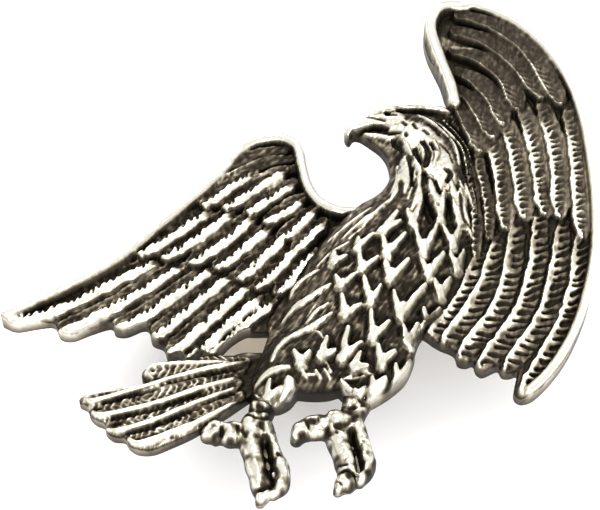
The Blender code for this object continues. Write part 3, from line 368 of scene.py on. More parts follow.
# Clefts and creases of the feet, in the same terms.
FOOT_CUTS = {
    "leg_left": [
        ([(-2.9, -17.2), (-2.8, -18.6), (-2.5, -19.9)], 0.27, 1),
        ([(-5.2, -16.2), (-5.1, -17.4)], 0.12, 0.3), ([(-6.5, -16), (-6.5, -17.1)], 0.12, 0.35),
        ([(-4.9, -16.7), (-4.4, -17.5)], 0.1, 0.22),
        ([(-3.9, -21.9), (-3.1, -22), (-2.5, -21.6)], 0.13, 0.35),
        ([(-4.3, -14.6), (-3.4, -15), (-2.4, -14.7)], 0.13, 0.25),
        ([(-4.5, -15.3), (-3.6, -15.7), (-2.6, -15.4)], 0.13, 0.25),
        ([(-2.5, -20.3), (-2.2, -21.4)], 0.13, 0.4), ([(-1.9, -18.5), (-1.5, -18.9)], 0.09, 0.2),
    ],
    "leg_right": [
        ([(4.3, -16.6), (4.6, -18.2), (5, -19.9)], 0.26, 1), ([(1.6, -15.2), (1.5, -16.2)], 0.09, 0.18),
        ([(0.4, -15.6), (0.8, -16.6)], 0.09, 0.16), ([(3, -17), (3.6, -17.4)], 0.09, 0.2),
        ([(2.8, -21), (3.5, -21.5)], 0.09, 0.2), ([(3, -19.6), (3.6, -19.9), (4.5, -19.7)], 0.1, 0.25),
        ([(3, -20.6), (3.8, -20.4), (4.6, -20.6)], 0.13, 0.35),
        ([(3.4, -14.3), (4.4, -14.7), (5.4, -14.3)], 0.13, 0.25),
        ([(4.4, -20.6), (4.7, -21.3)], 0.13, 0.4), ([(5.2, -17.6), (5.9, -17.9)], 0.09, 0.2),
    ],
}


# ------------------------------------------------------------ height maps
class Map:
    """A height and a polish on one rectangular grid of the drawing."""

    def __init__(self, low, high):
        self.xs = np.arange(low[0], high[0] + STEP, STEP)
        self.ys = np.arange(low[1], high[1] + STEP, STEP)
        shape = (len(self.ys), len(self.xs))
        self.height = np.zeros(shape)
        self.polish = np.zeros(shape)
        self.inside = np.full(shape, -9.0)   # distance inside the outline

    def window(self, points, margin):
        lo, hi = points.min(0) - margin, points.max(0) + margin
        i0, i1 = np.searchsorted(self.xs, (lo[0], hi[0]))
        j0, j1 = np.searchsorted(self.ys, (lo[1], hi[1]))
        grid = np.meshgrid(self.xs[i0:i1], self.ys[j0:j1])
        return (slice(j0, j1), slice(i0, i1)), grid[0], grid[1]

    def lay(self, place, height, polish, where=True):
        """Keep the higher of the map and a new form, with its polish."""
        wins = (height > self.height[place]) & where
        self.height[place] = np.where(wins, height, self.height[place])
        self.polish[place] = np.where(wins, polish, self.polish[place])

    def carve(self, place, depth, share):
        self.height[place] -= depth
        self.polish[place] *= 1.0 - share


def smooth_line(points, count=5, closed=False):
    """Catmull-Rom curve through points of any dimension."""
    pts = np.array(points, float)
    if closed:
        ring = np.vstack([pts[-1:], pts, pts[:2]])
    else:
        ring = np.vstack([2 * pts[0] - pts[1], pts, 2 * pts[-1] - pts[-2]])
    out = []
    for a, b, c, d in zip(ring, ring[1:], ring[2:], ring[3:]):
        for t in np.arange(count) / count:
            out.append(0.5 * (2 * b + (c - a) * t
                              + (2 * a - 5 * b + 4 * c - d) * t * t
                              + (3 * b - a - 3 * c + d) * t ** 3))
    if not closed:
        out.append(pts[-1])
    return np.array(out)


def step(low, high, value):
    """Smooth ramp from 0 at low to 1 at high."""
    t = np.clip((value - low) / (high - low), 0.0, 1.0)
    return t * t * (3.0 - 2.0 * t)


def along(X, Y, line):
    """Distance travelled, signed offset (+ left) and width on a line."""
    best = np.full(X.shape, 1e9)
    travel, offset, width = (np.zeros(X.shape) for _ in range(3))
    total = 0.0
    for (ax, ay, aw), (bx, by, bw) in zip(line, line[1:]):
        dx, dy = bx - ax, by - ay
        size = math.hypot(dx, dy)
        t = np.clip(((X - ax) * dx + (Y - ay) * dy) / (size * size), 0.0, 1.0)
        px, py = X - ax - t * dx, Y - ay - t * dy
        gap = px * px + py * py
        near = gap < best
        best = np.where(near, gap, best)
        side = np.sign(dx * (Y - ay) - dy * (X - ax))
        travel = np.where(near, total + t * size, travel)
        offset = np.where(near, side * np.sqrt(gap), offset)
        width = np.where(near, aw + t * (bw - aw), width)
        total += size
    return travel, offset, width, total


def trace(board, points, count=6):
    """The window round a smoothed line, and what along() says of its cells."""
    line = smooth_line(points, count)
    place, X, Y = board.window(line[:, :2], line[:, 2].max() + REACH)
    return (place, *along(X, Y, line))


def inside_outline(X, Y, outline):
    """Signed distance to a closed outline, positive inside."""
    ring = smooth_line(outline, 4, closed=True)
    best = np.full(X.shape, 1e9)
    crossed = np.zeros(X.shape, bool)
    for (ax, ay), (bx, by) in zip(ring, np.roll(ring, -1, 0)):
        dx, dy = bx - ax, by - ay
        size = dx * dx + dy * dy
        if size < 1e-12:
            continue
        t = np.clip(((X - ax) * dx + (Y - ay) * dy) / size, 0.0, 1.0)
        gap = (X - ax - t * dx) ** 2 + (Y - ay - t * dy) ** 2
        best = np.minimum(best, gap)
        if ay != by:
            over = (ay > Y) != (by > Y)
            crossed ^= over & (X < ax + (Y - ay) * dx / dy)
    return np.where(crossed, 1.0, -1.0) * np.sqrt(best)


def blur(field, sigma):
    """Gaussian blur, sigma in mm."""
    fy = np.fft.fftfreq(field.shape[0], STEP)[:, None]
    fx = np.fft.rfftfreq(field.shape[1], STEP)[None, :]
    gain = np.exp(-2.0 * (math.pi * sigma) ** 2 * (fx * fx + fy * fy))
    return np.fft.irfft2(np.fft.rfft2(field) * gain, field.shape)


def grain(shape, sigma, seed):
    """Noise of one grain size, in mm, with a spread of 1."""
    noise = blur(np.random.default_rng(seed).normal(size=shape), sigma)
    return noise / noise.std()


def streaks(shape, angle, length, width, seed):
    """Grain drawn out along one direction (degrees from +x)."""
    fy = np.fft.fftfreq(shape[0], STEP)[:, None]
    fx = np.fft.rfftfreq(shape[1], STEP)[None, :]
    c, t = math.cos(math.radians(angle)), math.sin(math.radians(angle))
    run, cross = fx * c + fy * t, fy * c - fx * t
    gain = np.exp(-2.0 * math.pi ** 2 * ((length * run) ** 2
                                         + (width * cross) ** 2))
    noise = np.random.default_rng(seed).normal(size=shape)
    out = np.fft.irfft2(np.fft.rfft2(noise) * gain, shape)
    return out / out.std()


# ----------------------------------------------------------------- feathers
# A profile works across a feather: u is -1 at its right edge and 1 at its
# left edge, and its numbers are places and shares on that scale.
BARB_PITCH = 0.62  # spacing of the barbs, mm
REACH = 0.3  # margin of a line's window, mm
DRIFT, RIPPLE = 0.12, 0.050  # unevenness along and across, mm
ROOT_HEIGHT, ROOT_TONE = 0.62, 0.18  # share left at a feather's root
BEAD_ROUND, BEAD_END = 0.6, 2.40  # roundness and end height, mm
SCALE_LIFT = 0.74  # height of a scale's lip, mm
FULL_LIFT_WIDTH = 0.28  # narrower strokes are lower, mm
CUT_SHADE = 0.92  # polish that a groove takes away


def feather_line(spine, half):
    """Feathers start narrow under the row above and keep a blunt tip."""
    line = smooth_line([(x, y, half) for x, y in spine], 6)
    share = np.arange(len(line)) / (len(line) - 1)
    line[:, 2] = half * (0.66 + 0.34 * step(0.0, 0.45, share))
    line[-2:, 2] *= (0.93, 0.72)
    return line


def barbs(travel, lean, index):
    """Saw-tooth down a vane, each barb with its own strength."""
    cycle = (travel + lean) / BARB_PITCH + 0.37 * index
    number = np.floor(cycle)
    own = np.abs(np.sin(number * 12.99 + index * 7.7) * 43.7) % 1.0
    return np.abs(cycle - number - 0.5) * 2.0, own


def comb_profile(u, d, s, share, index, rise, n):
    """Bright vane to the left of travel, its upper edge cut into wedges."""
    saw, own = barbs(s, -0.83 * d, index)
    wedge = np.clip((saw - 0.45) / 0.55, 0, 1)
    edge = -0.04 + (0.03 + 0.50 * own * own) * wedge + 0.11 * n
    vane = step(edge - 0.09, edge + 0.09, u) * step(0.97, 0.86, u)
    worn = 0.82 + 0.18 * (np.sin(5.1 * index + 1.3) > -0.2)
    line = step(0.72, 1.0, saw) * step(0.95, 0.1, u) * own
    web = np.exp(-((u + 0.70) / 0.11) ** 2)
    h = rise * (vane * (1.0 - 0.20 * (u - 0.4) ** 2) - 0.10 * line * vane
                + 0.34 * web * (1 - vane) + 0.14 * (1 - saw) * (1 - vane))
    tone = vane * worn * (1.0 - 0.24 * line) + (1 - vane) * (0.20 + 0.26 * web
                                                      + 0.10 * (1 - saw))
    return h, tone


def ladder_profile(u, d, s, share, index, rise, n):
    """Bright rail to the right of travel, thick slanting barbs, open slits."""
    saw, own = barbs(s / 1.30, 0.50 * (d + 1.0), index)
    flat = np.maximum(0.0, 0.02 - 0.16 * own + 0.12 * n - u) / 0.34
    narrow = 0.30 + 0.30 * own + 0.10 * n + 0.16 * step(0.9, 0.2, u)
    slit = step(-0.02, 0.40, 1.0 - np.hypot(saw / narrow, flat))
    sheet = step(1.0, 0.88, np.abs(u))
    fade = step(0.05, 0.40, share)
    h = rise * sheet * ((1 - slit) * (1.0 - 0.30 * (u + 1.0)) + 0.16 * slit)
    bright = (0.50 + 0.45 * fade) * (1.0 - 0.80 * step(-0.74, 0.30, u + 0.14 * n))
    tone = sheet * ((1 - slit) * (0.16 + 0.84 * bright) + 0.12 * slit)
    return h, tone


def band_profile(u, d, s, share, index, rise, n):
    """Bright rail with scallops to its left, then a smooth slate half."""
    saw, own = barbs(s, 0.45 * (d + 1.0), index)
    reach = -0.44 + (0.10 + 0.66 * own) * step(0.25, 1.0, saw) + 0.08 * n
    fade = step(0.10, 0.42, share)
    rail = step(-1.0, -0.90, u) * step(reach, reach - 0.18, u)
    slate = step(0.30, 0.42, u) * step(0.97, 0.86, u)
    web = step(0.97, 0.86, u) * (1 - rail) * (1 - slate)
    h = rise * (rail * (0.55 + 0.45 * fade) + slate * 0.34
                + web * (0.30 + 0.34 * saw * (1.0 - u)))
    tone = (rail * (0.34 + 0.66 * fade) + slate * (0.30 + 0.14 * fade)
            + web * (0.20 + (0.08 + 0.34 * own) * saw * (0.4 + 0.6 * fade)))
    return h, tone


def smooth_profile(u, d, s, share, index, rise, n):
    """Broad dark sheet with a thin bright lip; barbs only near the tip."""
    saw, own = barbs(s, 0.8 * np.abs(d), index)
    near = step(0.40, 0.95, share)
    sheet = step(1.0, 0.84, np.abs(u))
    lip = np.exp(-((u + 0.80) / 0.09) ** 2)
    spot = step(0.40, 0.8, saw) * step(0.0, -0.75, u) * own
    h = rise * (sheet * (0.74 - 0.24 * u) + 0.34 * lip
                + 0.09 * saw * near * sheet)
    tone = (sheet * (0.17 + 0.06 * saw * near + 0.75 * spot * near)
            + lip * (0.34 + 0.55 * near * own))
    return h, tone


def web_profile(u, d, s, share, index, rise, n):
    """Mottled tail web with slanting barbs on both sides of a midline."""
    saw, own = barbs(s, -0.9 * np.abs(d), index)
    sheet = step(1.0, 0.80, np.abs(u))
    h = rise * (0.55 * sheet + 0.55 * saw * sheet)
    tone = sheet * (0.28 + (0.14 + 0.56 * own) * step(0.30, 0.9, saw))
    return h, tone


# Every profile takes the same values, whether or not it uses them.
PROFILES = {"comb": comb_profile, "ladder": ladder_profile,
            "band": band_profile, "smooth": smooth_profile,
            "web": web_profile}


def lay_feather(board, spine, row, index):
    """One feather of a row; its root slips under the row above."""
    if "reach" in row:
        back = np.subtract(spine[0], spine[1])
        back = back / np.hypot(*back) * row["reach"]
        spine = [tuple(np.add(spine[0], back))] + list(spine)
    place, s, d, w, total = trace(board, feather_line(spine, row["half"]), 1)
    drift, ripple = (field[place] for field in board.sway)
    calm = 0.3 if row["kind"] == "smooth" else 1.0
    s = s + calm * DRIFT * drift
    d = d + calm * RIPPLE * ripple
    u = d / w
    h, tone = PROFILES[row["kind"]](u, d, s, s / total, index, row["rise"], ripple)
    root = 1.0 if row["kind"] == "web" else step(0.05, 0.75, s)
    h = row["base"] + h * (ROOT_HEIGHT + (1.0 - ROOT_HEIGHT) * root)
    tone = tone * row.get("tone", 1.0) * (ROOT_TONE + (1.0 - ROOT_TONE) * root)
    board.lay(place, h, tone, np.abs(u) < 1.0)


def lay_tube(board, points, level, factor, polish, cover=False, side=1.0):
    """A round form; with cover its own width is added to the outline."""
    place, _, d, w, _ = trace(board, points)
    r = np.abs(d)
    h = level + factor * np.sqrt(np.maximum(0.0, w * w - r * r))
    tone = polish * (side + (1 - side) * step(1.0, 0.45, r / w))
    board.lay(place, h, tone, r < w)
    if cover:
        board.inside[place] = np.maximum(board.inside[place], w - r)


def wear(board, points, polish):
    """Rub a soft-edged region bright without changing its height."""
    place, _, d, w, _ = trace(board, points)
    share = step(1.05, 0.55, np.abs(d) / w)
    board.polish[place] = np.maximum(board.polish[place], polish * share)


def lay_bead(board, points, half, crown, polish):
    """A round bead of one width; a high one sinks to BEAD_END at its end."""
    place, s, d, w, total = trace(board, [(x, y, half) for x, y in points])
    r = np.clip(np.abs(d) / w, 0, 1)
    sink = max(0.0, crown - BEAD_END) * step(total - 2.6, total - 0.2, s)
    h = crown - sink - BEAD_ROUND + BEAD_ROUND * np.sqrt(1 - r * r)
    board.lay(place, h, polish * (0.35 + 0.65 * step(1.0, 0.6, r)), r < 1)


def drape(board, points, plane=PLANE):
    """Slide points of the leaning drawing down onto the raised body."""
    rows, columns = board.ground.shape
    out = []
    for x, y, *rest in points:
        i = int(np.clip(round((x - board.xs[0]) / STEP), 0, columns - 1))
        yy = y
        for _ in range(DRAPE_PASSES):
            j = int(np.clip(round((yy - board.ys[0]) / STEP), 0, rows - 1))
            yy = y - LEAN * (board.ground[j, i] - plane)
        out.append((x, yy, *rest))
    return out


def tapered(points, half, ends=0.45):
    """Give a stroke its full width in the middle and thin ends."""
    last = len(points) - 1
    return [half * (ends if i in (0, last) else 1.0) for i in range(last + 1)]


def lay_scale(board, arm, tip, other):
    """A breast scale: hollow heart, thick V lip, solid overhanging tip."""
    a, t, b = (np.array(p) for p in drape(board, [arm, tip, other]))
    span = max(0.55, 0.42 * np.hypot(*(a - b)))
    heart = [(*(0.5 * (a + b)), span * 0.8), (*(0.30 * t + 0.35 * (a + b)), span * 0.9),
             (*(0.75 * t + 0.125 * (a + b)), span * 0.5)]
    place, _, d, w, _ = trace(board, heart, 1)
    share = step(1.1, 0.3, np.abs(d) / w)
    board.carve(place, 0.26 * share, 0.85 * share)
    a, b = a + 0.08 * (t - a), b + 0.05 * (t - b)
    # The groove round the V is cut 0.16 mm deep and painted dark as the shadow under the overhanging lip.
    cut_stroke(board, [a, 0.5 * (a + t), t, 0.5 * (b + t), b], 0.56, 0.16)
    for end, widths in ((a, (0.30, 0.46, 0.56)), (b, (0.28, 0.44, 0.56))):
        lay_stroke(board, [end, 0.5 * (end + t), t], widths, SCALE_LIFT, 1.0)
    inner = t + 0.40 * (0.5 * (a + b) - t)
    lay_stroke(board, [inner, t], (0.36, 0.70), SCALE_LIFT + 0.10, 1.0)


def lay_stroke(board, points, widths, rise, polish):
    """A rounded ridge that follows the ground under it."""
    line = [(*point[:2], width) for point, width in zip(points, widths)]
    place, _, d, w, _ = trace(board, line, 5)
    ragged, mottled = (field[place] for field in board.sway)
    r = np.clip(np.abs(d) / np.maximum(w, 0.02) + 0.06 * ragged, 0, 1)
    lift = step(1.0, 0.42, r) * np.minimum(1.0, w / FULL_LIFT_WIDTH)
    tone = polish * step(1.0, 0.76, r) * (1.0 - 0.13 * np.clip(mottled, 0, 2))
    board.lay(place, board.ground[place] + rise * lift, tone, r < 1)


def cut_stroke(board, points, half, depth):
    """A dark groove with soft sides.  Its darkening is patina in real cuts, and painted shadow round the
    breast scales and beside the tail's rails.
    """
    place, _, d, w, _ = trace(board, [(x, y, half) for x, y in points], 5)
    share = step(1.35, 0.5, np.abs(d) / w)
    board.carve(place, depth * share, CUT_SHADE * share)


# ------------------------------------------------------------- components
def new_map(outline, margin=0.5, extra=()):
    pts = np.array(list(outline) + list(extra))
    return Map(pts.min(0) - margin, pts.max(0) + margin)


def outline_map(name, outline, plate, floor_polish):
    """A wing or the tail: a plate with rows of feathers, roots and beads."""
    board = new_map(outline)
    X, Y = np.meshgrid(board.xs, board.ys)
    board.inside = inside_outline(X, Y, outline)
    board.height[:] = plate
    board.polish[:] = floor_polish
    seed = len(name)
    board.sway = [grain(X.shape, 0.35, seed), grain(X.shape, 0.22, seed + 40)]
    for row in FEATHER_ROWS[name]:
        for index, spine in enumerate(row["feathers"]):
            lay_feather(board, spine, row, index)
    for level, factor, polish, points in ROOT_EDGES.get(name, ()):
        lay_tube(board, points, level, factor, polish, cover=True)
    for points, half, crown, polish in BEADS.get(name, ()):
        lay_bead(board, points, half, crown, polish)
    if name == "right_wing":
        wear(board, WORN_PATCH, WORN_PATCH_POLISH)
    if name == "tail":
        board.ground = blur(board.height, 0.4)
        for points, half in RAIL_SHADOWS:
            cut_stroke(board, points, 0.66 * half, 0.24)
        for points, half in TAIL_RAILS:
            rise, polish = (0.55, 1.0) if half > THIN_RAIL else (0.30, 0.42)
            lay_stroke(board, points, tapered(points, half, 0.6), rise, polish)
        # Painted shade at the tail's root, next to the body.
        board.polish *= 0.30 + 0.70 * step(*TAIL_ROOT_SHADE, X)
    return board


def body_map():
    """Torso, thighs, neck, head and beak, with the scales and strands."""
    board = new_map(BODY, extra=[(10.5, -14.0), (-4.5, -15.0)])
    X, Y = np.meshgrid(board.xs, board.ys)
    board.inside = inside_outline(X, Y, BODY)
    board.sway = [grain(X.shape, 0.16, 61), grain(X.shape, 0.24, 62)]
    board.height[:] = BODY_PLATE
    board.polish[:] = BODY_POLISH
    lay_tube(board, BODY_SPINE, BODY_LEVEL, BODY_FLAT, BODY_POLISH)
    for level, factor, polish, points in BODY_FORMS:
        lay_tube(board, points, level, factor, polish)
    level, factor, polish, points = BELLY_EDGE
    lay_tube(board, points, level, factor, polish, cover=True)
    board.height = np.maximum(blur(board.height, 0.35), BODY_PLATE)
    board.ground = board.height.copy()
    for level, factor, polish, points in BEAK_FORMS:
        lay_tube(board, points, level, factor, polish, side=0.55)
    board.ground = np.maximum(board.ground, blur(board.height, 0.12))
    for polish, points in NECK_WEAR:
        wear(board, drape(board, points, NECK_PLANE), polish)
    for arm, tip, other in sorted(BREAST_SCALES, key=lambda scale: scale[1][1]):
        lay_scale(board, arm, tip, other)
    wear(board, drape(board, KNEE_WEAR), 0.74)
    for points, half in BREAST_STREAKS:
        lay_stroke(board, drape(board, points), tapered(points, half * 1.25), 0.45, 0.95)
    for points, half in NECK_STRANDS:
        lay_stroke(board, drape(board, points, NECK_PLANE), tapered(points, half * 1.15), 0.42, 1.0)
    for points, half, depth in NECK_CUTS:
        cut_stroke(board, drape(board, points, NECK_PLANE), half, depth)
    lay_stroke(board, CROWN, tapered(CROWN, 0.42), 0.50, 0.72)
    cut_stroke(board, CROWN_GROOVE, 0.24, 0.40)
    return board


def leg_map(name):
    """A leg and foot, whose outline is that of its round forms."""
    forms = LEG_FORMS[name]
    board = new_map([point[:2] for form in forms for point in form[3]], margin=1.8)
    for level, factor, polish, points in forms:
        lay_tube(board, points, level, factor, max(polish, 0.60), cover=True, side=0.35)
    for points, half, depth in FOOT_CUTS[name]:
        cut_stroke(board, points, half, depth)
    return board


def sample(board, field, X, Y, outside):
    """Read one map's field at the points of another, nearest cell."""
    i = np.round((X - board.xs[0]) / STEP).astype(int)
    j = np.round((Y - board.ys[0]) / STEP).astype(int)
    ok = (i >= 0) & (j >= 0) & (i < len(board.xs)) & (j < len(board.ys))
    i, j = np.clip(i, 0, len(board.xs) - 1), np.clip(j, 0, len(board.ys) - 1)
    return np.where(ok, field[j, i], outside)


# Direction of the fine casting streaks on each piece, degrees from +x.
GRAIN_ANGLES = {
    "eagle_left_wing": 40,
    "eagle_right_wing": 84,
    "eagle_tail": 16,
    "eagle_body": 58,
    "eagle_leg_left": 100,
    "eagle_leg_right": 108,
}


RIGHT_WING_CALM = 0.38  # the right wing's metal is smoother
# Soft waves of the metal: height and size in mm, seed.
WAVES = [(0.016, 0.35, 11), (0.018, 0.9, 31)]
# The whole drawing's limits, and the hollows that hold patina, mm.
WHOLE_LOW, WHOLE_HIGH = (-27.0, -24.5), (28.0, 29.0)
NEAR_HOLLOW, WIDE_HOLLOW = 0.28, 1.1


def tuck_under(boards):
    """Keep wings and tail clear below the body where the two nearly meet."""
    body = boards["eagle_body"]
    for name in ("eagle_left_wing", "eagle_right_wing", "eagle_tail"):
        board = boards[name]
        X, Y = np.meshgrid(board.xs, board.ys)
        inner = sample(body, body.inside, X, Y, -1.0)
        top = sample(body, body.height, X, Y, 0.0)
        meet = (inner > 0.08) & (board.height < top + 0.20)
        below = np.maximum(top - 0.40, 0.4 * board.height)
        board.height = np.where(meet, np.minimum(board.height, below),
                                board.height)
        X, Y = np.meshgrid(body.xs, body.ys)
        covered = sample(board, board.inside, X, Y, -1.0) > 0.25
        seam = step(0.55, 0.15, body.inside) * covered
        body.polish *= 1.0 - 0.70 * seam


def roughen(name, board, k):
    """Round the rim and cover the metal with streaks, flecks and waves."""
    shape = board.height.shape
    rim = np.clip(board.inside, 0.0, EDGE)
    drop = EDGE - np.sqrt(np.maximum(0.0, EDGE ** 2 - (EDGE - rim) ** 2))
    board.height = np.maximum(board.height - drop, 0.45 * board.height)
    board.height = blur(board.height, 0.055)
    fine = streaks(shape, GRAIN_ANGLES[name], 0.30, 0.07, 71 + k)
    flecks = streaks(shape, GRAIN_ANGLES[name] - 14.0, 0.16, 0.08, 91 + k)
    rough = 0.40 + 0.60 * step(0.75, 0.25, board.polish)
    rough *= RIGHT_WING_CALM if name == "eagle_right_wing" else 1.0
    if name.startswith("eagle_leg"):
        lumps = grain(shape, 0.20, 7 + k)
        board.height += 0.10 * lumps
        board.polish += 0.42 * lumps - 0.06
    board.height += rough * (0.030 * fine + 0.022 * flecks)
    for height, size, seed in WAVES:
        board.height += height * grain(shape, size, seed + k)
    board.polish = blur(board.polish, 0.05)
    board.polish += rough * (0.075 * fine + 0.075 * flecks)


def finish_maps(boards):
    """Roughen every piece, then work the patina into the hollows."""
    for k, (name, board) in enumerate(boards.items()):
        roughen(name, board, k)
    tuck_under(boards)
    whole = Map(WHOLE_LOW, WHOLE_HIGH)
    X, Y = np.meshgrid(whole.xs, whole.ys)
    for board in boards.values():
        covered = np.where(board.inside > 0, board.height, 0.0)
        whole.height = np.maximum(whole.height, sample(board, covered, X, Y, 0.0))
    near = whole.height - blur(whole.height, NEAR_HOLLOW)
    wide = whole.height - blur(whole.height, WIDE_HOLLOW)
    solid = blur((whole.height > 0).astype(float), WIDE_HOLLOW)
    for k, board in enumerate(boards.values()):
        X, Y = np.meshgrid(board.xs, board.ys)
        a = sample(whole, near, X, Y, 0.0)
        b = sample(whole, wide - 1.6 * (1 - solid), X, Y, 0.0)
        tone = board.polish + 0.75 * np.clip(a, -0.24, 0.18) + 0.10 * np.clip(b, -1.2, 0.6)
        tone += 0.035 * grain(board.height.shape, 0.12, 51 + k)
        board.tone = np.clip(tone, 0.0, 1.0)


# Painted light and shade on the rim walls: bright spots where the walls catch the light, and one dark spot
# of shade below the belly (negative polish): x, y, reach, added polish.
WALL_LIGHT_AND_SHADE = [
    (-23.5, -6.4, 3.2, 0.5), (-19.2, -7.5, 1.6, 0.45), (-13.4, -18, 2.6, 0.4), (-16.6, -15.8, 1.4, 0.35),
    (-18, -13.8, 1.2, 0.3), (11.6, 22.5, 3, 0.4), (21.5, -12, 4, 0.45), (9, -11.5, 1.8, 0.45),
    (6.4, -13.8, 1.4, 0.4), (-3.2, -22.6, 1.2, 0.5), (3.4, -21.4, 1.2, 0.5), (1.2, -13.3, 2.4, -0.5),
]


WALL_RINGS, RIM_PASSES = 5, 6  # rings down a wall, smoothing passes
BACK_TONE = 0.45  # polish of the flat back


def build_mesh(name, board):
    """Closed mesh: relief on top, walls down the outline, flat back."""
    ny, nx = board.height.shape
    inside = board.inside
    middle = 0.25 * (inside[:-1, :-1] + inside[1:, :-1]
                     + inside[:-1, 1:] + inside[1:, 1:])
    keep = middle > 0.0
    X, Y = np.meshgrid(board.xs, board.ys)
    used = np.zeros((ny, nx), bool)
    count = np.zeros((ny, nx), int)
    for dj in (0, 1):
        for di in (0, 1):
            used[dj:ny - 1 + dj, di:nx - 1 + di] |= keep
            count[dj:ny - 1 + dj, di:nx - 1 + di] += keep
    rim = used & (count < 4)
    gy, gx = np.gradient(inside, STEP)
    size = np.maximum(np.hypot(gx, gy), 0.3)
    move = np.clip(inside, -0.9 * STEP, 0.9 * STEP)
    X = np.where(rim, X - move * gx / size, X)
    Y = np.where(rim, Y - move * gy / size, Y)
    index = np.full((ny, nx), -1)
    index[used] = np.arange(used.sum())
    top = np.column_stack([X[used], Y[used], board.height[used]])
    tone = board.tone[used]
    a = index[:-1, :-1][keep]
    b = index[:-1, 1:][keep]
    c = index[1:, 1:][keep]
    d = index[1:, :-1][keep]
    quads = np.column_stack([a, b, c, d])
    edges = np.vstack([quads[:, [0, 1]], quads[:, [1, 2]],
                       quads[:, [2, 3]], quads[:, [3, 0]]])
    key = edges[:, 0].astype(np.int64) * len(top) + edges[:, 1]
    back_key = edges[:, 1].astype(np.int64) * len(top) + edges[:, 0]
    border = edges[~np.isin(key, back_key)]
    ring = np.unique(border)
    slot = np.full(len(top), -1)
    slot[ring] = np.arange(len(ring))
    after = np.zeros(len(ring), int)
    before = np.zeros(len(ring), int)
    after[slot[border[:, 0]]] = slot[border[:, 1]]
    before[slot[border[:, 1]]] = slot[border[:, 0]]
    edge = np.column_stack([top[ring], tone[ring]])
    for _ in range(RIM_PASSES):
        edge = 0.5 * edge + 0.25 * (edge[after] + edge[before])
    top[ring], tone[ring] = edge[:, :3], edge[:, 3]
    verts, tones = [top], [tone]
    for k in range(1, WALL_RINGS + 1):
        layer = top[ring].copy()
        layer[:, 2] *= 1.0 - k / WALL_RINGS
        verts.append(layer)
        # Painted shade: each wall darkens from its rim down towards the flat back.
        shade = 0.10 + 0.6 * tone[ring] * (1 - k / WALL_RINGS)
        # Painted light, or painted shade where negative, from the listed wall spots.
        for x, y, reach, polish in WALL_LIGHT_AND_SHADE:
            far = np.hypot(top[ring, 0] - x, top[ring, 1] - y) / reach
            shade = shade + polish * np.exp(-far * far) * (1 - 0.6 * k / WALL_RINGS)
        tones.append(shade)
    faces = [tuple(q) for q in quads]
    first = len(top)
    ids = [ring] + [np.arange(len(ring)) + first + k * len(ring)
                    for k in range(WALL_RINGS)]
    for upper, lower in zip(ids, ids[1:]):
        for p, q in border:
            i, j = slot[p], slot[q]
            faces.append((upper[j], upper[i], lower[i], lower[j]))
    verts = np.vstack(verts)
    tones = np.concatenate(tones)
    # The back is the same grid, laid flat.
    base = ids[-1]
    back = np.full(len(top), -1)
    back[ring] = base
    others = np.setdiff1d(np.arange(len(top)), ring)
    back[others] = len(verts) + np.arange(len(others))
    flat = top[others].copy()
    flat[:, 2] = 0.0
    verts = np.vstack([verts, flat])
    tones = np.concatenate([tones, np.full(len(flat), BACK_TONE)])
    faces += [(back[q[3]], back[q[2]], back[q[1]], back[q[0]]) for q in quads]
    verts = (verts + np.array(SHIFT)) * MM
    mesh = bpy.data.meshes.new(name)
    mesh.from_pydata(verts.tolist(), [], faces)
    layer = mesh.attributes.new("polish", "FLOAT", "POINT")
    layer.data.foreach_set("value", tones.astype(np.float32))
    mesh.shade_smooth()
    mesh.set_sharp_from_angle(angle=math.radians(55))
    obj = bpy.data.objects.new(name, mesh)
    bpy.context.scene.collection.objects.link(obj)
    return obj


# ---------------------------------------------------------------- materials
class Nodes:
    """Small helper to write a material's nodes."""

    def __init__(self, name):
        self.material = bpy.data.materials.new(name)
        self.material.use_nodes = True
        self.tree = self.material.node_tree
        self.shader = self.tree.nodes["Principled BSDF"]

    def add(self, kind, **settings):
        node = self.tree.nodes.new(kind)
        for key, value in settings.items():
            if key in node.inputs:
                node.inputs[key].default_value = value
            else:
                setattr(node, key, value)
        return node

    def put(self, value, socket):
        """Set a socket to a number or link it to another socket."""
        if isinstance(value, (int, float)):
            socket.default_value = value
        else:
            self.tree.links.new(value, socket)

    def feed(self, **sockets):
        """Give inputs to the shader; Base_Color stands for Base Color."""
        for key, value in sockets.items():
            self.put(value, self.shader.inputs[key.replace("_", " ")])

    def noise(self, scale, detail=4.0, rough=0.55, vector=None):
        node = self.add("ShaderNodeTexNoise", Scale=scale, Detail=detail, Roughness=rough)
        if vector is None:
            vector = self.add("ShaderNodeTexCoord").outputs["Object"]
        self.put(vector, node.inputs["Vector"])
        return node.outputs["Fac"]

    def maths(self, operation, a, b):
        node = self.add("ShaderNodeMath", operation=operation)
        for value, socket in zip((a, b), node.inputs):
            self.put(value, socket)
        return node.outputs[0]

    def mottle(self, value, field, amount):
        """Add a noise field, centred on zero, to a value."""
        centred = self.maths("SUBTRACT", field, 0.5)
        return self.maths("ADD", value, self.maths("MULTIPLY", centred, amount))

    def ramp(self, value, stops):
        node = self.add("ShaderNodeValToRGB")
        elements = node.color_ramp.elements
        for element, (position, colour) in zip(elements, (stops[0], stops[-1])):
            element.position, element.color = position, colour
        for position, colour in stops[1:-1]:
            elements.new(position).color = colour
        self.put(value, node.inputs["Fac"])
        return node.outputs["Color"]

    def bump(self, value, distance, strength):
        node = self.add("ShaderNodeBump", Distance=distance, Strength=strength)
        self.put(value, node.inputs["Height"])
        self.feed(Normal=node.outputs["Normal"])


def grey(v):
    return (v, v, v, 1.0)


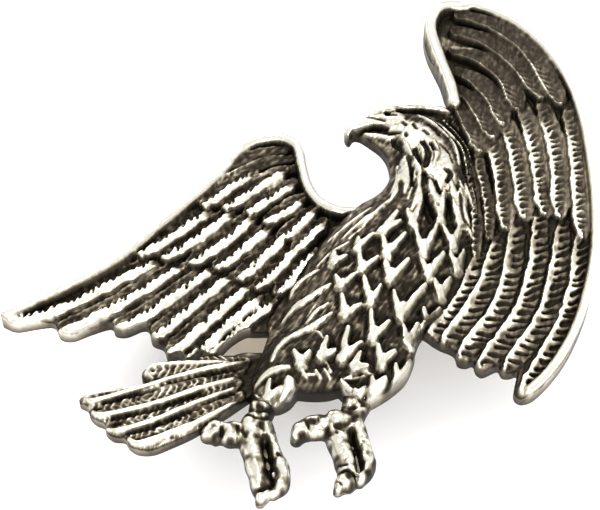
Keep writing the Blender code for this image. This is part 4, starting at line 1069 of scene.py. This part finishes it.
# Colours from the darkest patina to the brightest metal, and of the table.
PATINA = [
    (0.00, (0.022, 0.018, 0.013, 1)), (0.20, (0.047, 0.038, 0.028, 1)),
    (0.38, (0.115, 0.096, 0.069, 1)), (0.60, (0.265, 0.230, 0.168, 1)),
    (0.92, (0.680, 0.652, 0.562, 1)),
]
PAPER = [(0.3, (0.95, 0.95, 0.96, 1)), (0.7, (0.98, 0.98, 0.98, 1))]


def pewter_material():
    """Polish drives colour and roughness from black patina to bright metal, and so carries the painted light
    and shade held in polish.
    """
    n = Nodes("antique_pewter")
    polish = n.add("ShaderNodeAttribute", attribute_name="polish").outputs["Fac"]
    value = n.mottle(polish, n.noise(2600.0, 5.0, 0.6), 0.30)
    value = n.mottle(value, n.noise(260.0, 3.0, 0.5), 0.22)
    n.feed(Base_Color=n.ramp(value, PATINA), Metallic=1.0,
           Roughness=n.ramp(value, [(0.1, grey(0.58)), (0.9, grey(0.30))]))
    n.bump(n.noise(3800.0, 4.0, 0.65), 0.00004, 0.35)
    return n.material


def plated_material(name, dark, light, roughness, scale):
    """Stamped sheet: mottled tone, fine rubbing marks, and duller where darker."""
    n = Nodes(name)
    stretch = n.add("ShaderNodeMapping", Scale=(1.0, 1.0, 14.0))
    n.put(n.add("ShaderNodeTexCoord").outputs["Object"], stretch.inputs["Vector"])
    rub = n.noise(scale * 6, 5.0, 0.7, stretch.outputs["Vector"])
    spots = n.noise(scale, 4.0, 0.55)
    mix = n.maths("ADD", n.maths("MULTIPLY", rub, 0.4), n.maths("MULTIPLY", spots, 0.6))
    n.feed(Base_Color=n.ramp(mix, [(0.30, dark), (0.62, light)]), Metallic=1.0,
           Roughness=n.ramp(mix, [(0.3, grey(roughness + 0.18)), (0.7, grey(roughness))]))
    n.bump(rub, 0.00003, 0.3)
    return n.material


# ----------------------------------------------------------------- the scene
boards = {
    "eagle_left_wing": outline_map("left_wing", LEFT_WING, 1.30, 0.16),
    "eagle_right_wing": outline_map("right_wing", RIGHT_WING, 1.36, 0.14),
    "eagle_tail": outline_map("tail", TAIL, 1.15, 0.20),
    "eagle_body": body_map(),
    "eagle_leg_left": leg_map("leg_left"),
    "eagle_leg_right": leg_map("leg_right"),
}
finish_maps(boards)
pewter = pewter_material()
for name, board in boards.items():
    piece = build_mesh(name, board)
    piece.data.materials.append(pewter)
    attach(piece, "badge")
    if name == "eagle_body":
        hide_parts("eagle_casting")

looks = {
    "post": plated_material("nickel_plate", (0.36, 0.34, 0.30, 1),
                            (0.74, 0.72, 0.68, 1), 0.22, 900.0),
    "solder": plated_material("solder_fillet", (0.20, 0.20, 0.21, 1),
                              (0.52, 0.53, 0.55, 1), 0.38, 1400.0),
    "clutch": plated_material("clutch_brass", (0.42, 0.27, 0.09, 1),
                              (0.83, 0.62, 0.27, 1), 0.22, 500.0),
    "jaw": plated_material("spring_brass", (0.36, 0.24, 0.10, 1),
                           (0.76, 0.58, 0.29, 1), 0.28, 700.0),
}
for entry in frame["record"]["subparts"]:
    node = frame["nodes"][entry["node"]]
    if entry["material_slot"] in looks:
        node.data.materials.clear()
        node.data.materials.append(looks[entry["material_slot"]])

# Floor, light and camera.
HALF_FLOOR = 1.2
floor_mesh = bpy.data.meshes.new("floor")
floor_mesh.from_pydata([(x * HALF_FLOOR, y * HALF_FLOOR, 0.0)
                        for x, y in ((-1, -1), (1, -1), (1, 1), (-1, 1))], [], [(0, 1, 2, 3)])
floor = bpy.data.objects.new("floor", floor_mesh)
bpy.context.scene.collection.objects.link(floor)
paper = Nodes("white_table")
paper.feed(Base_Color=paper.ramp(paper.noise(60.0, 3.0, 0.5), PAPER), Roughness=0.7)
floor_mesh.materials.append(paper.material)

world = bpy.data.worlds.new("studio")
world.use_nodes = True
background = world.node_tree.nodes["Background"]
background.inputs["Color"].default_value = (1, 1, 1, 1)
background.inputs["Strength"].default_value = 1.16
bpy.context.scene.world = world


def add_facing(name, data, place, target):
    """Put an object at a place with its -Z axis turned to a target."""
    obj = bpy.data.objects.new(name, data)
    obj.location = place
    obj.rotation_euler = (Vector(target) - Vector(place)).to_track_quat("-Z", "Y").to_euler()
    bpy.context.scene.collection.objects.link(obj)
    return obj


# Name, place, diameter and power of each soft light, aimed at the origin.
LIGHTS = [
    ("key", (-0.16, 0.34, 0.52), 0.42, 2.3),
    ("fill", (0.38, 0.16, 0.42), 0.40, 0.6),
    ("front", (0.16, -0.62, 0.34), 0.50, 4.0),
]
for name, place, size, watts in LIGHTS:
    lamp = bpy.data.lights.new(name, "AREA")
    lamp.shape = "DISK"
    lamp.size = size
    lamp.energy = watts
    add_facing(name, lamp, place, (0, 0, 0))

# The photograph's view: above the badge's near side, with a long lens.
ELEVATION = math.radians(60.0)
DISTANCE = 0.195
AIM = Vector((SHIFT.x, SHIFT.y, SHIFT.z + 2.0)) * MM
camera_data = bpy.data.cameras.new("camera")
camera_data.lens = 135.0
camera_data.sensor_width = 36.0
camera_data.clip_start = 0.005
camera_data.clip_end = 20.0
line_of_sight = Vector((0.0, -math.cos(ELEVATION), math.sin(ELEVATION)))
bpy.context.scene.camera = add_facing("camera", camera_data, AIM + line_of_sight * DISTANCE, AIM)
bpy.context.scene.view_settings.view_transform = "Standard"

bpy.context.view_layer.update()
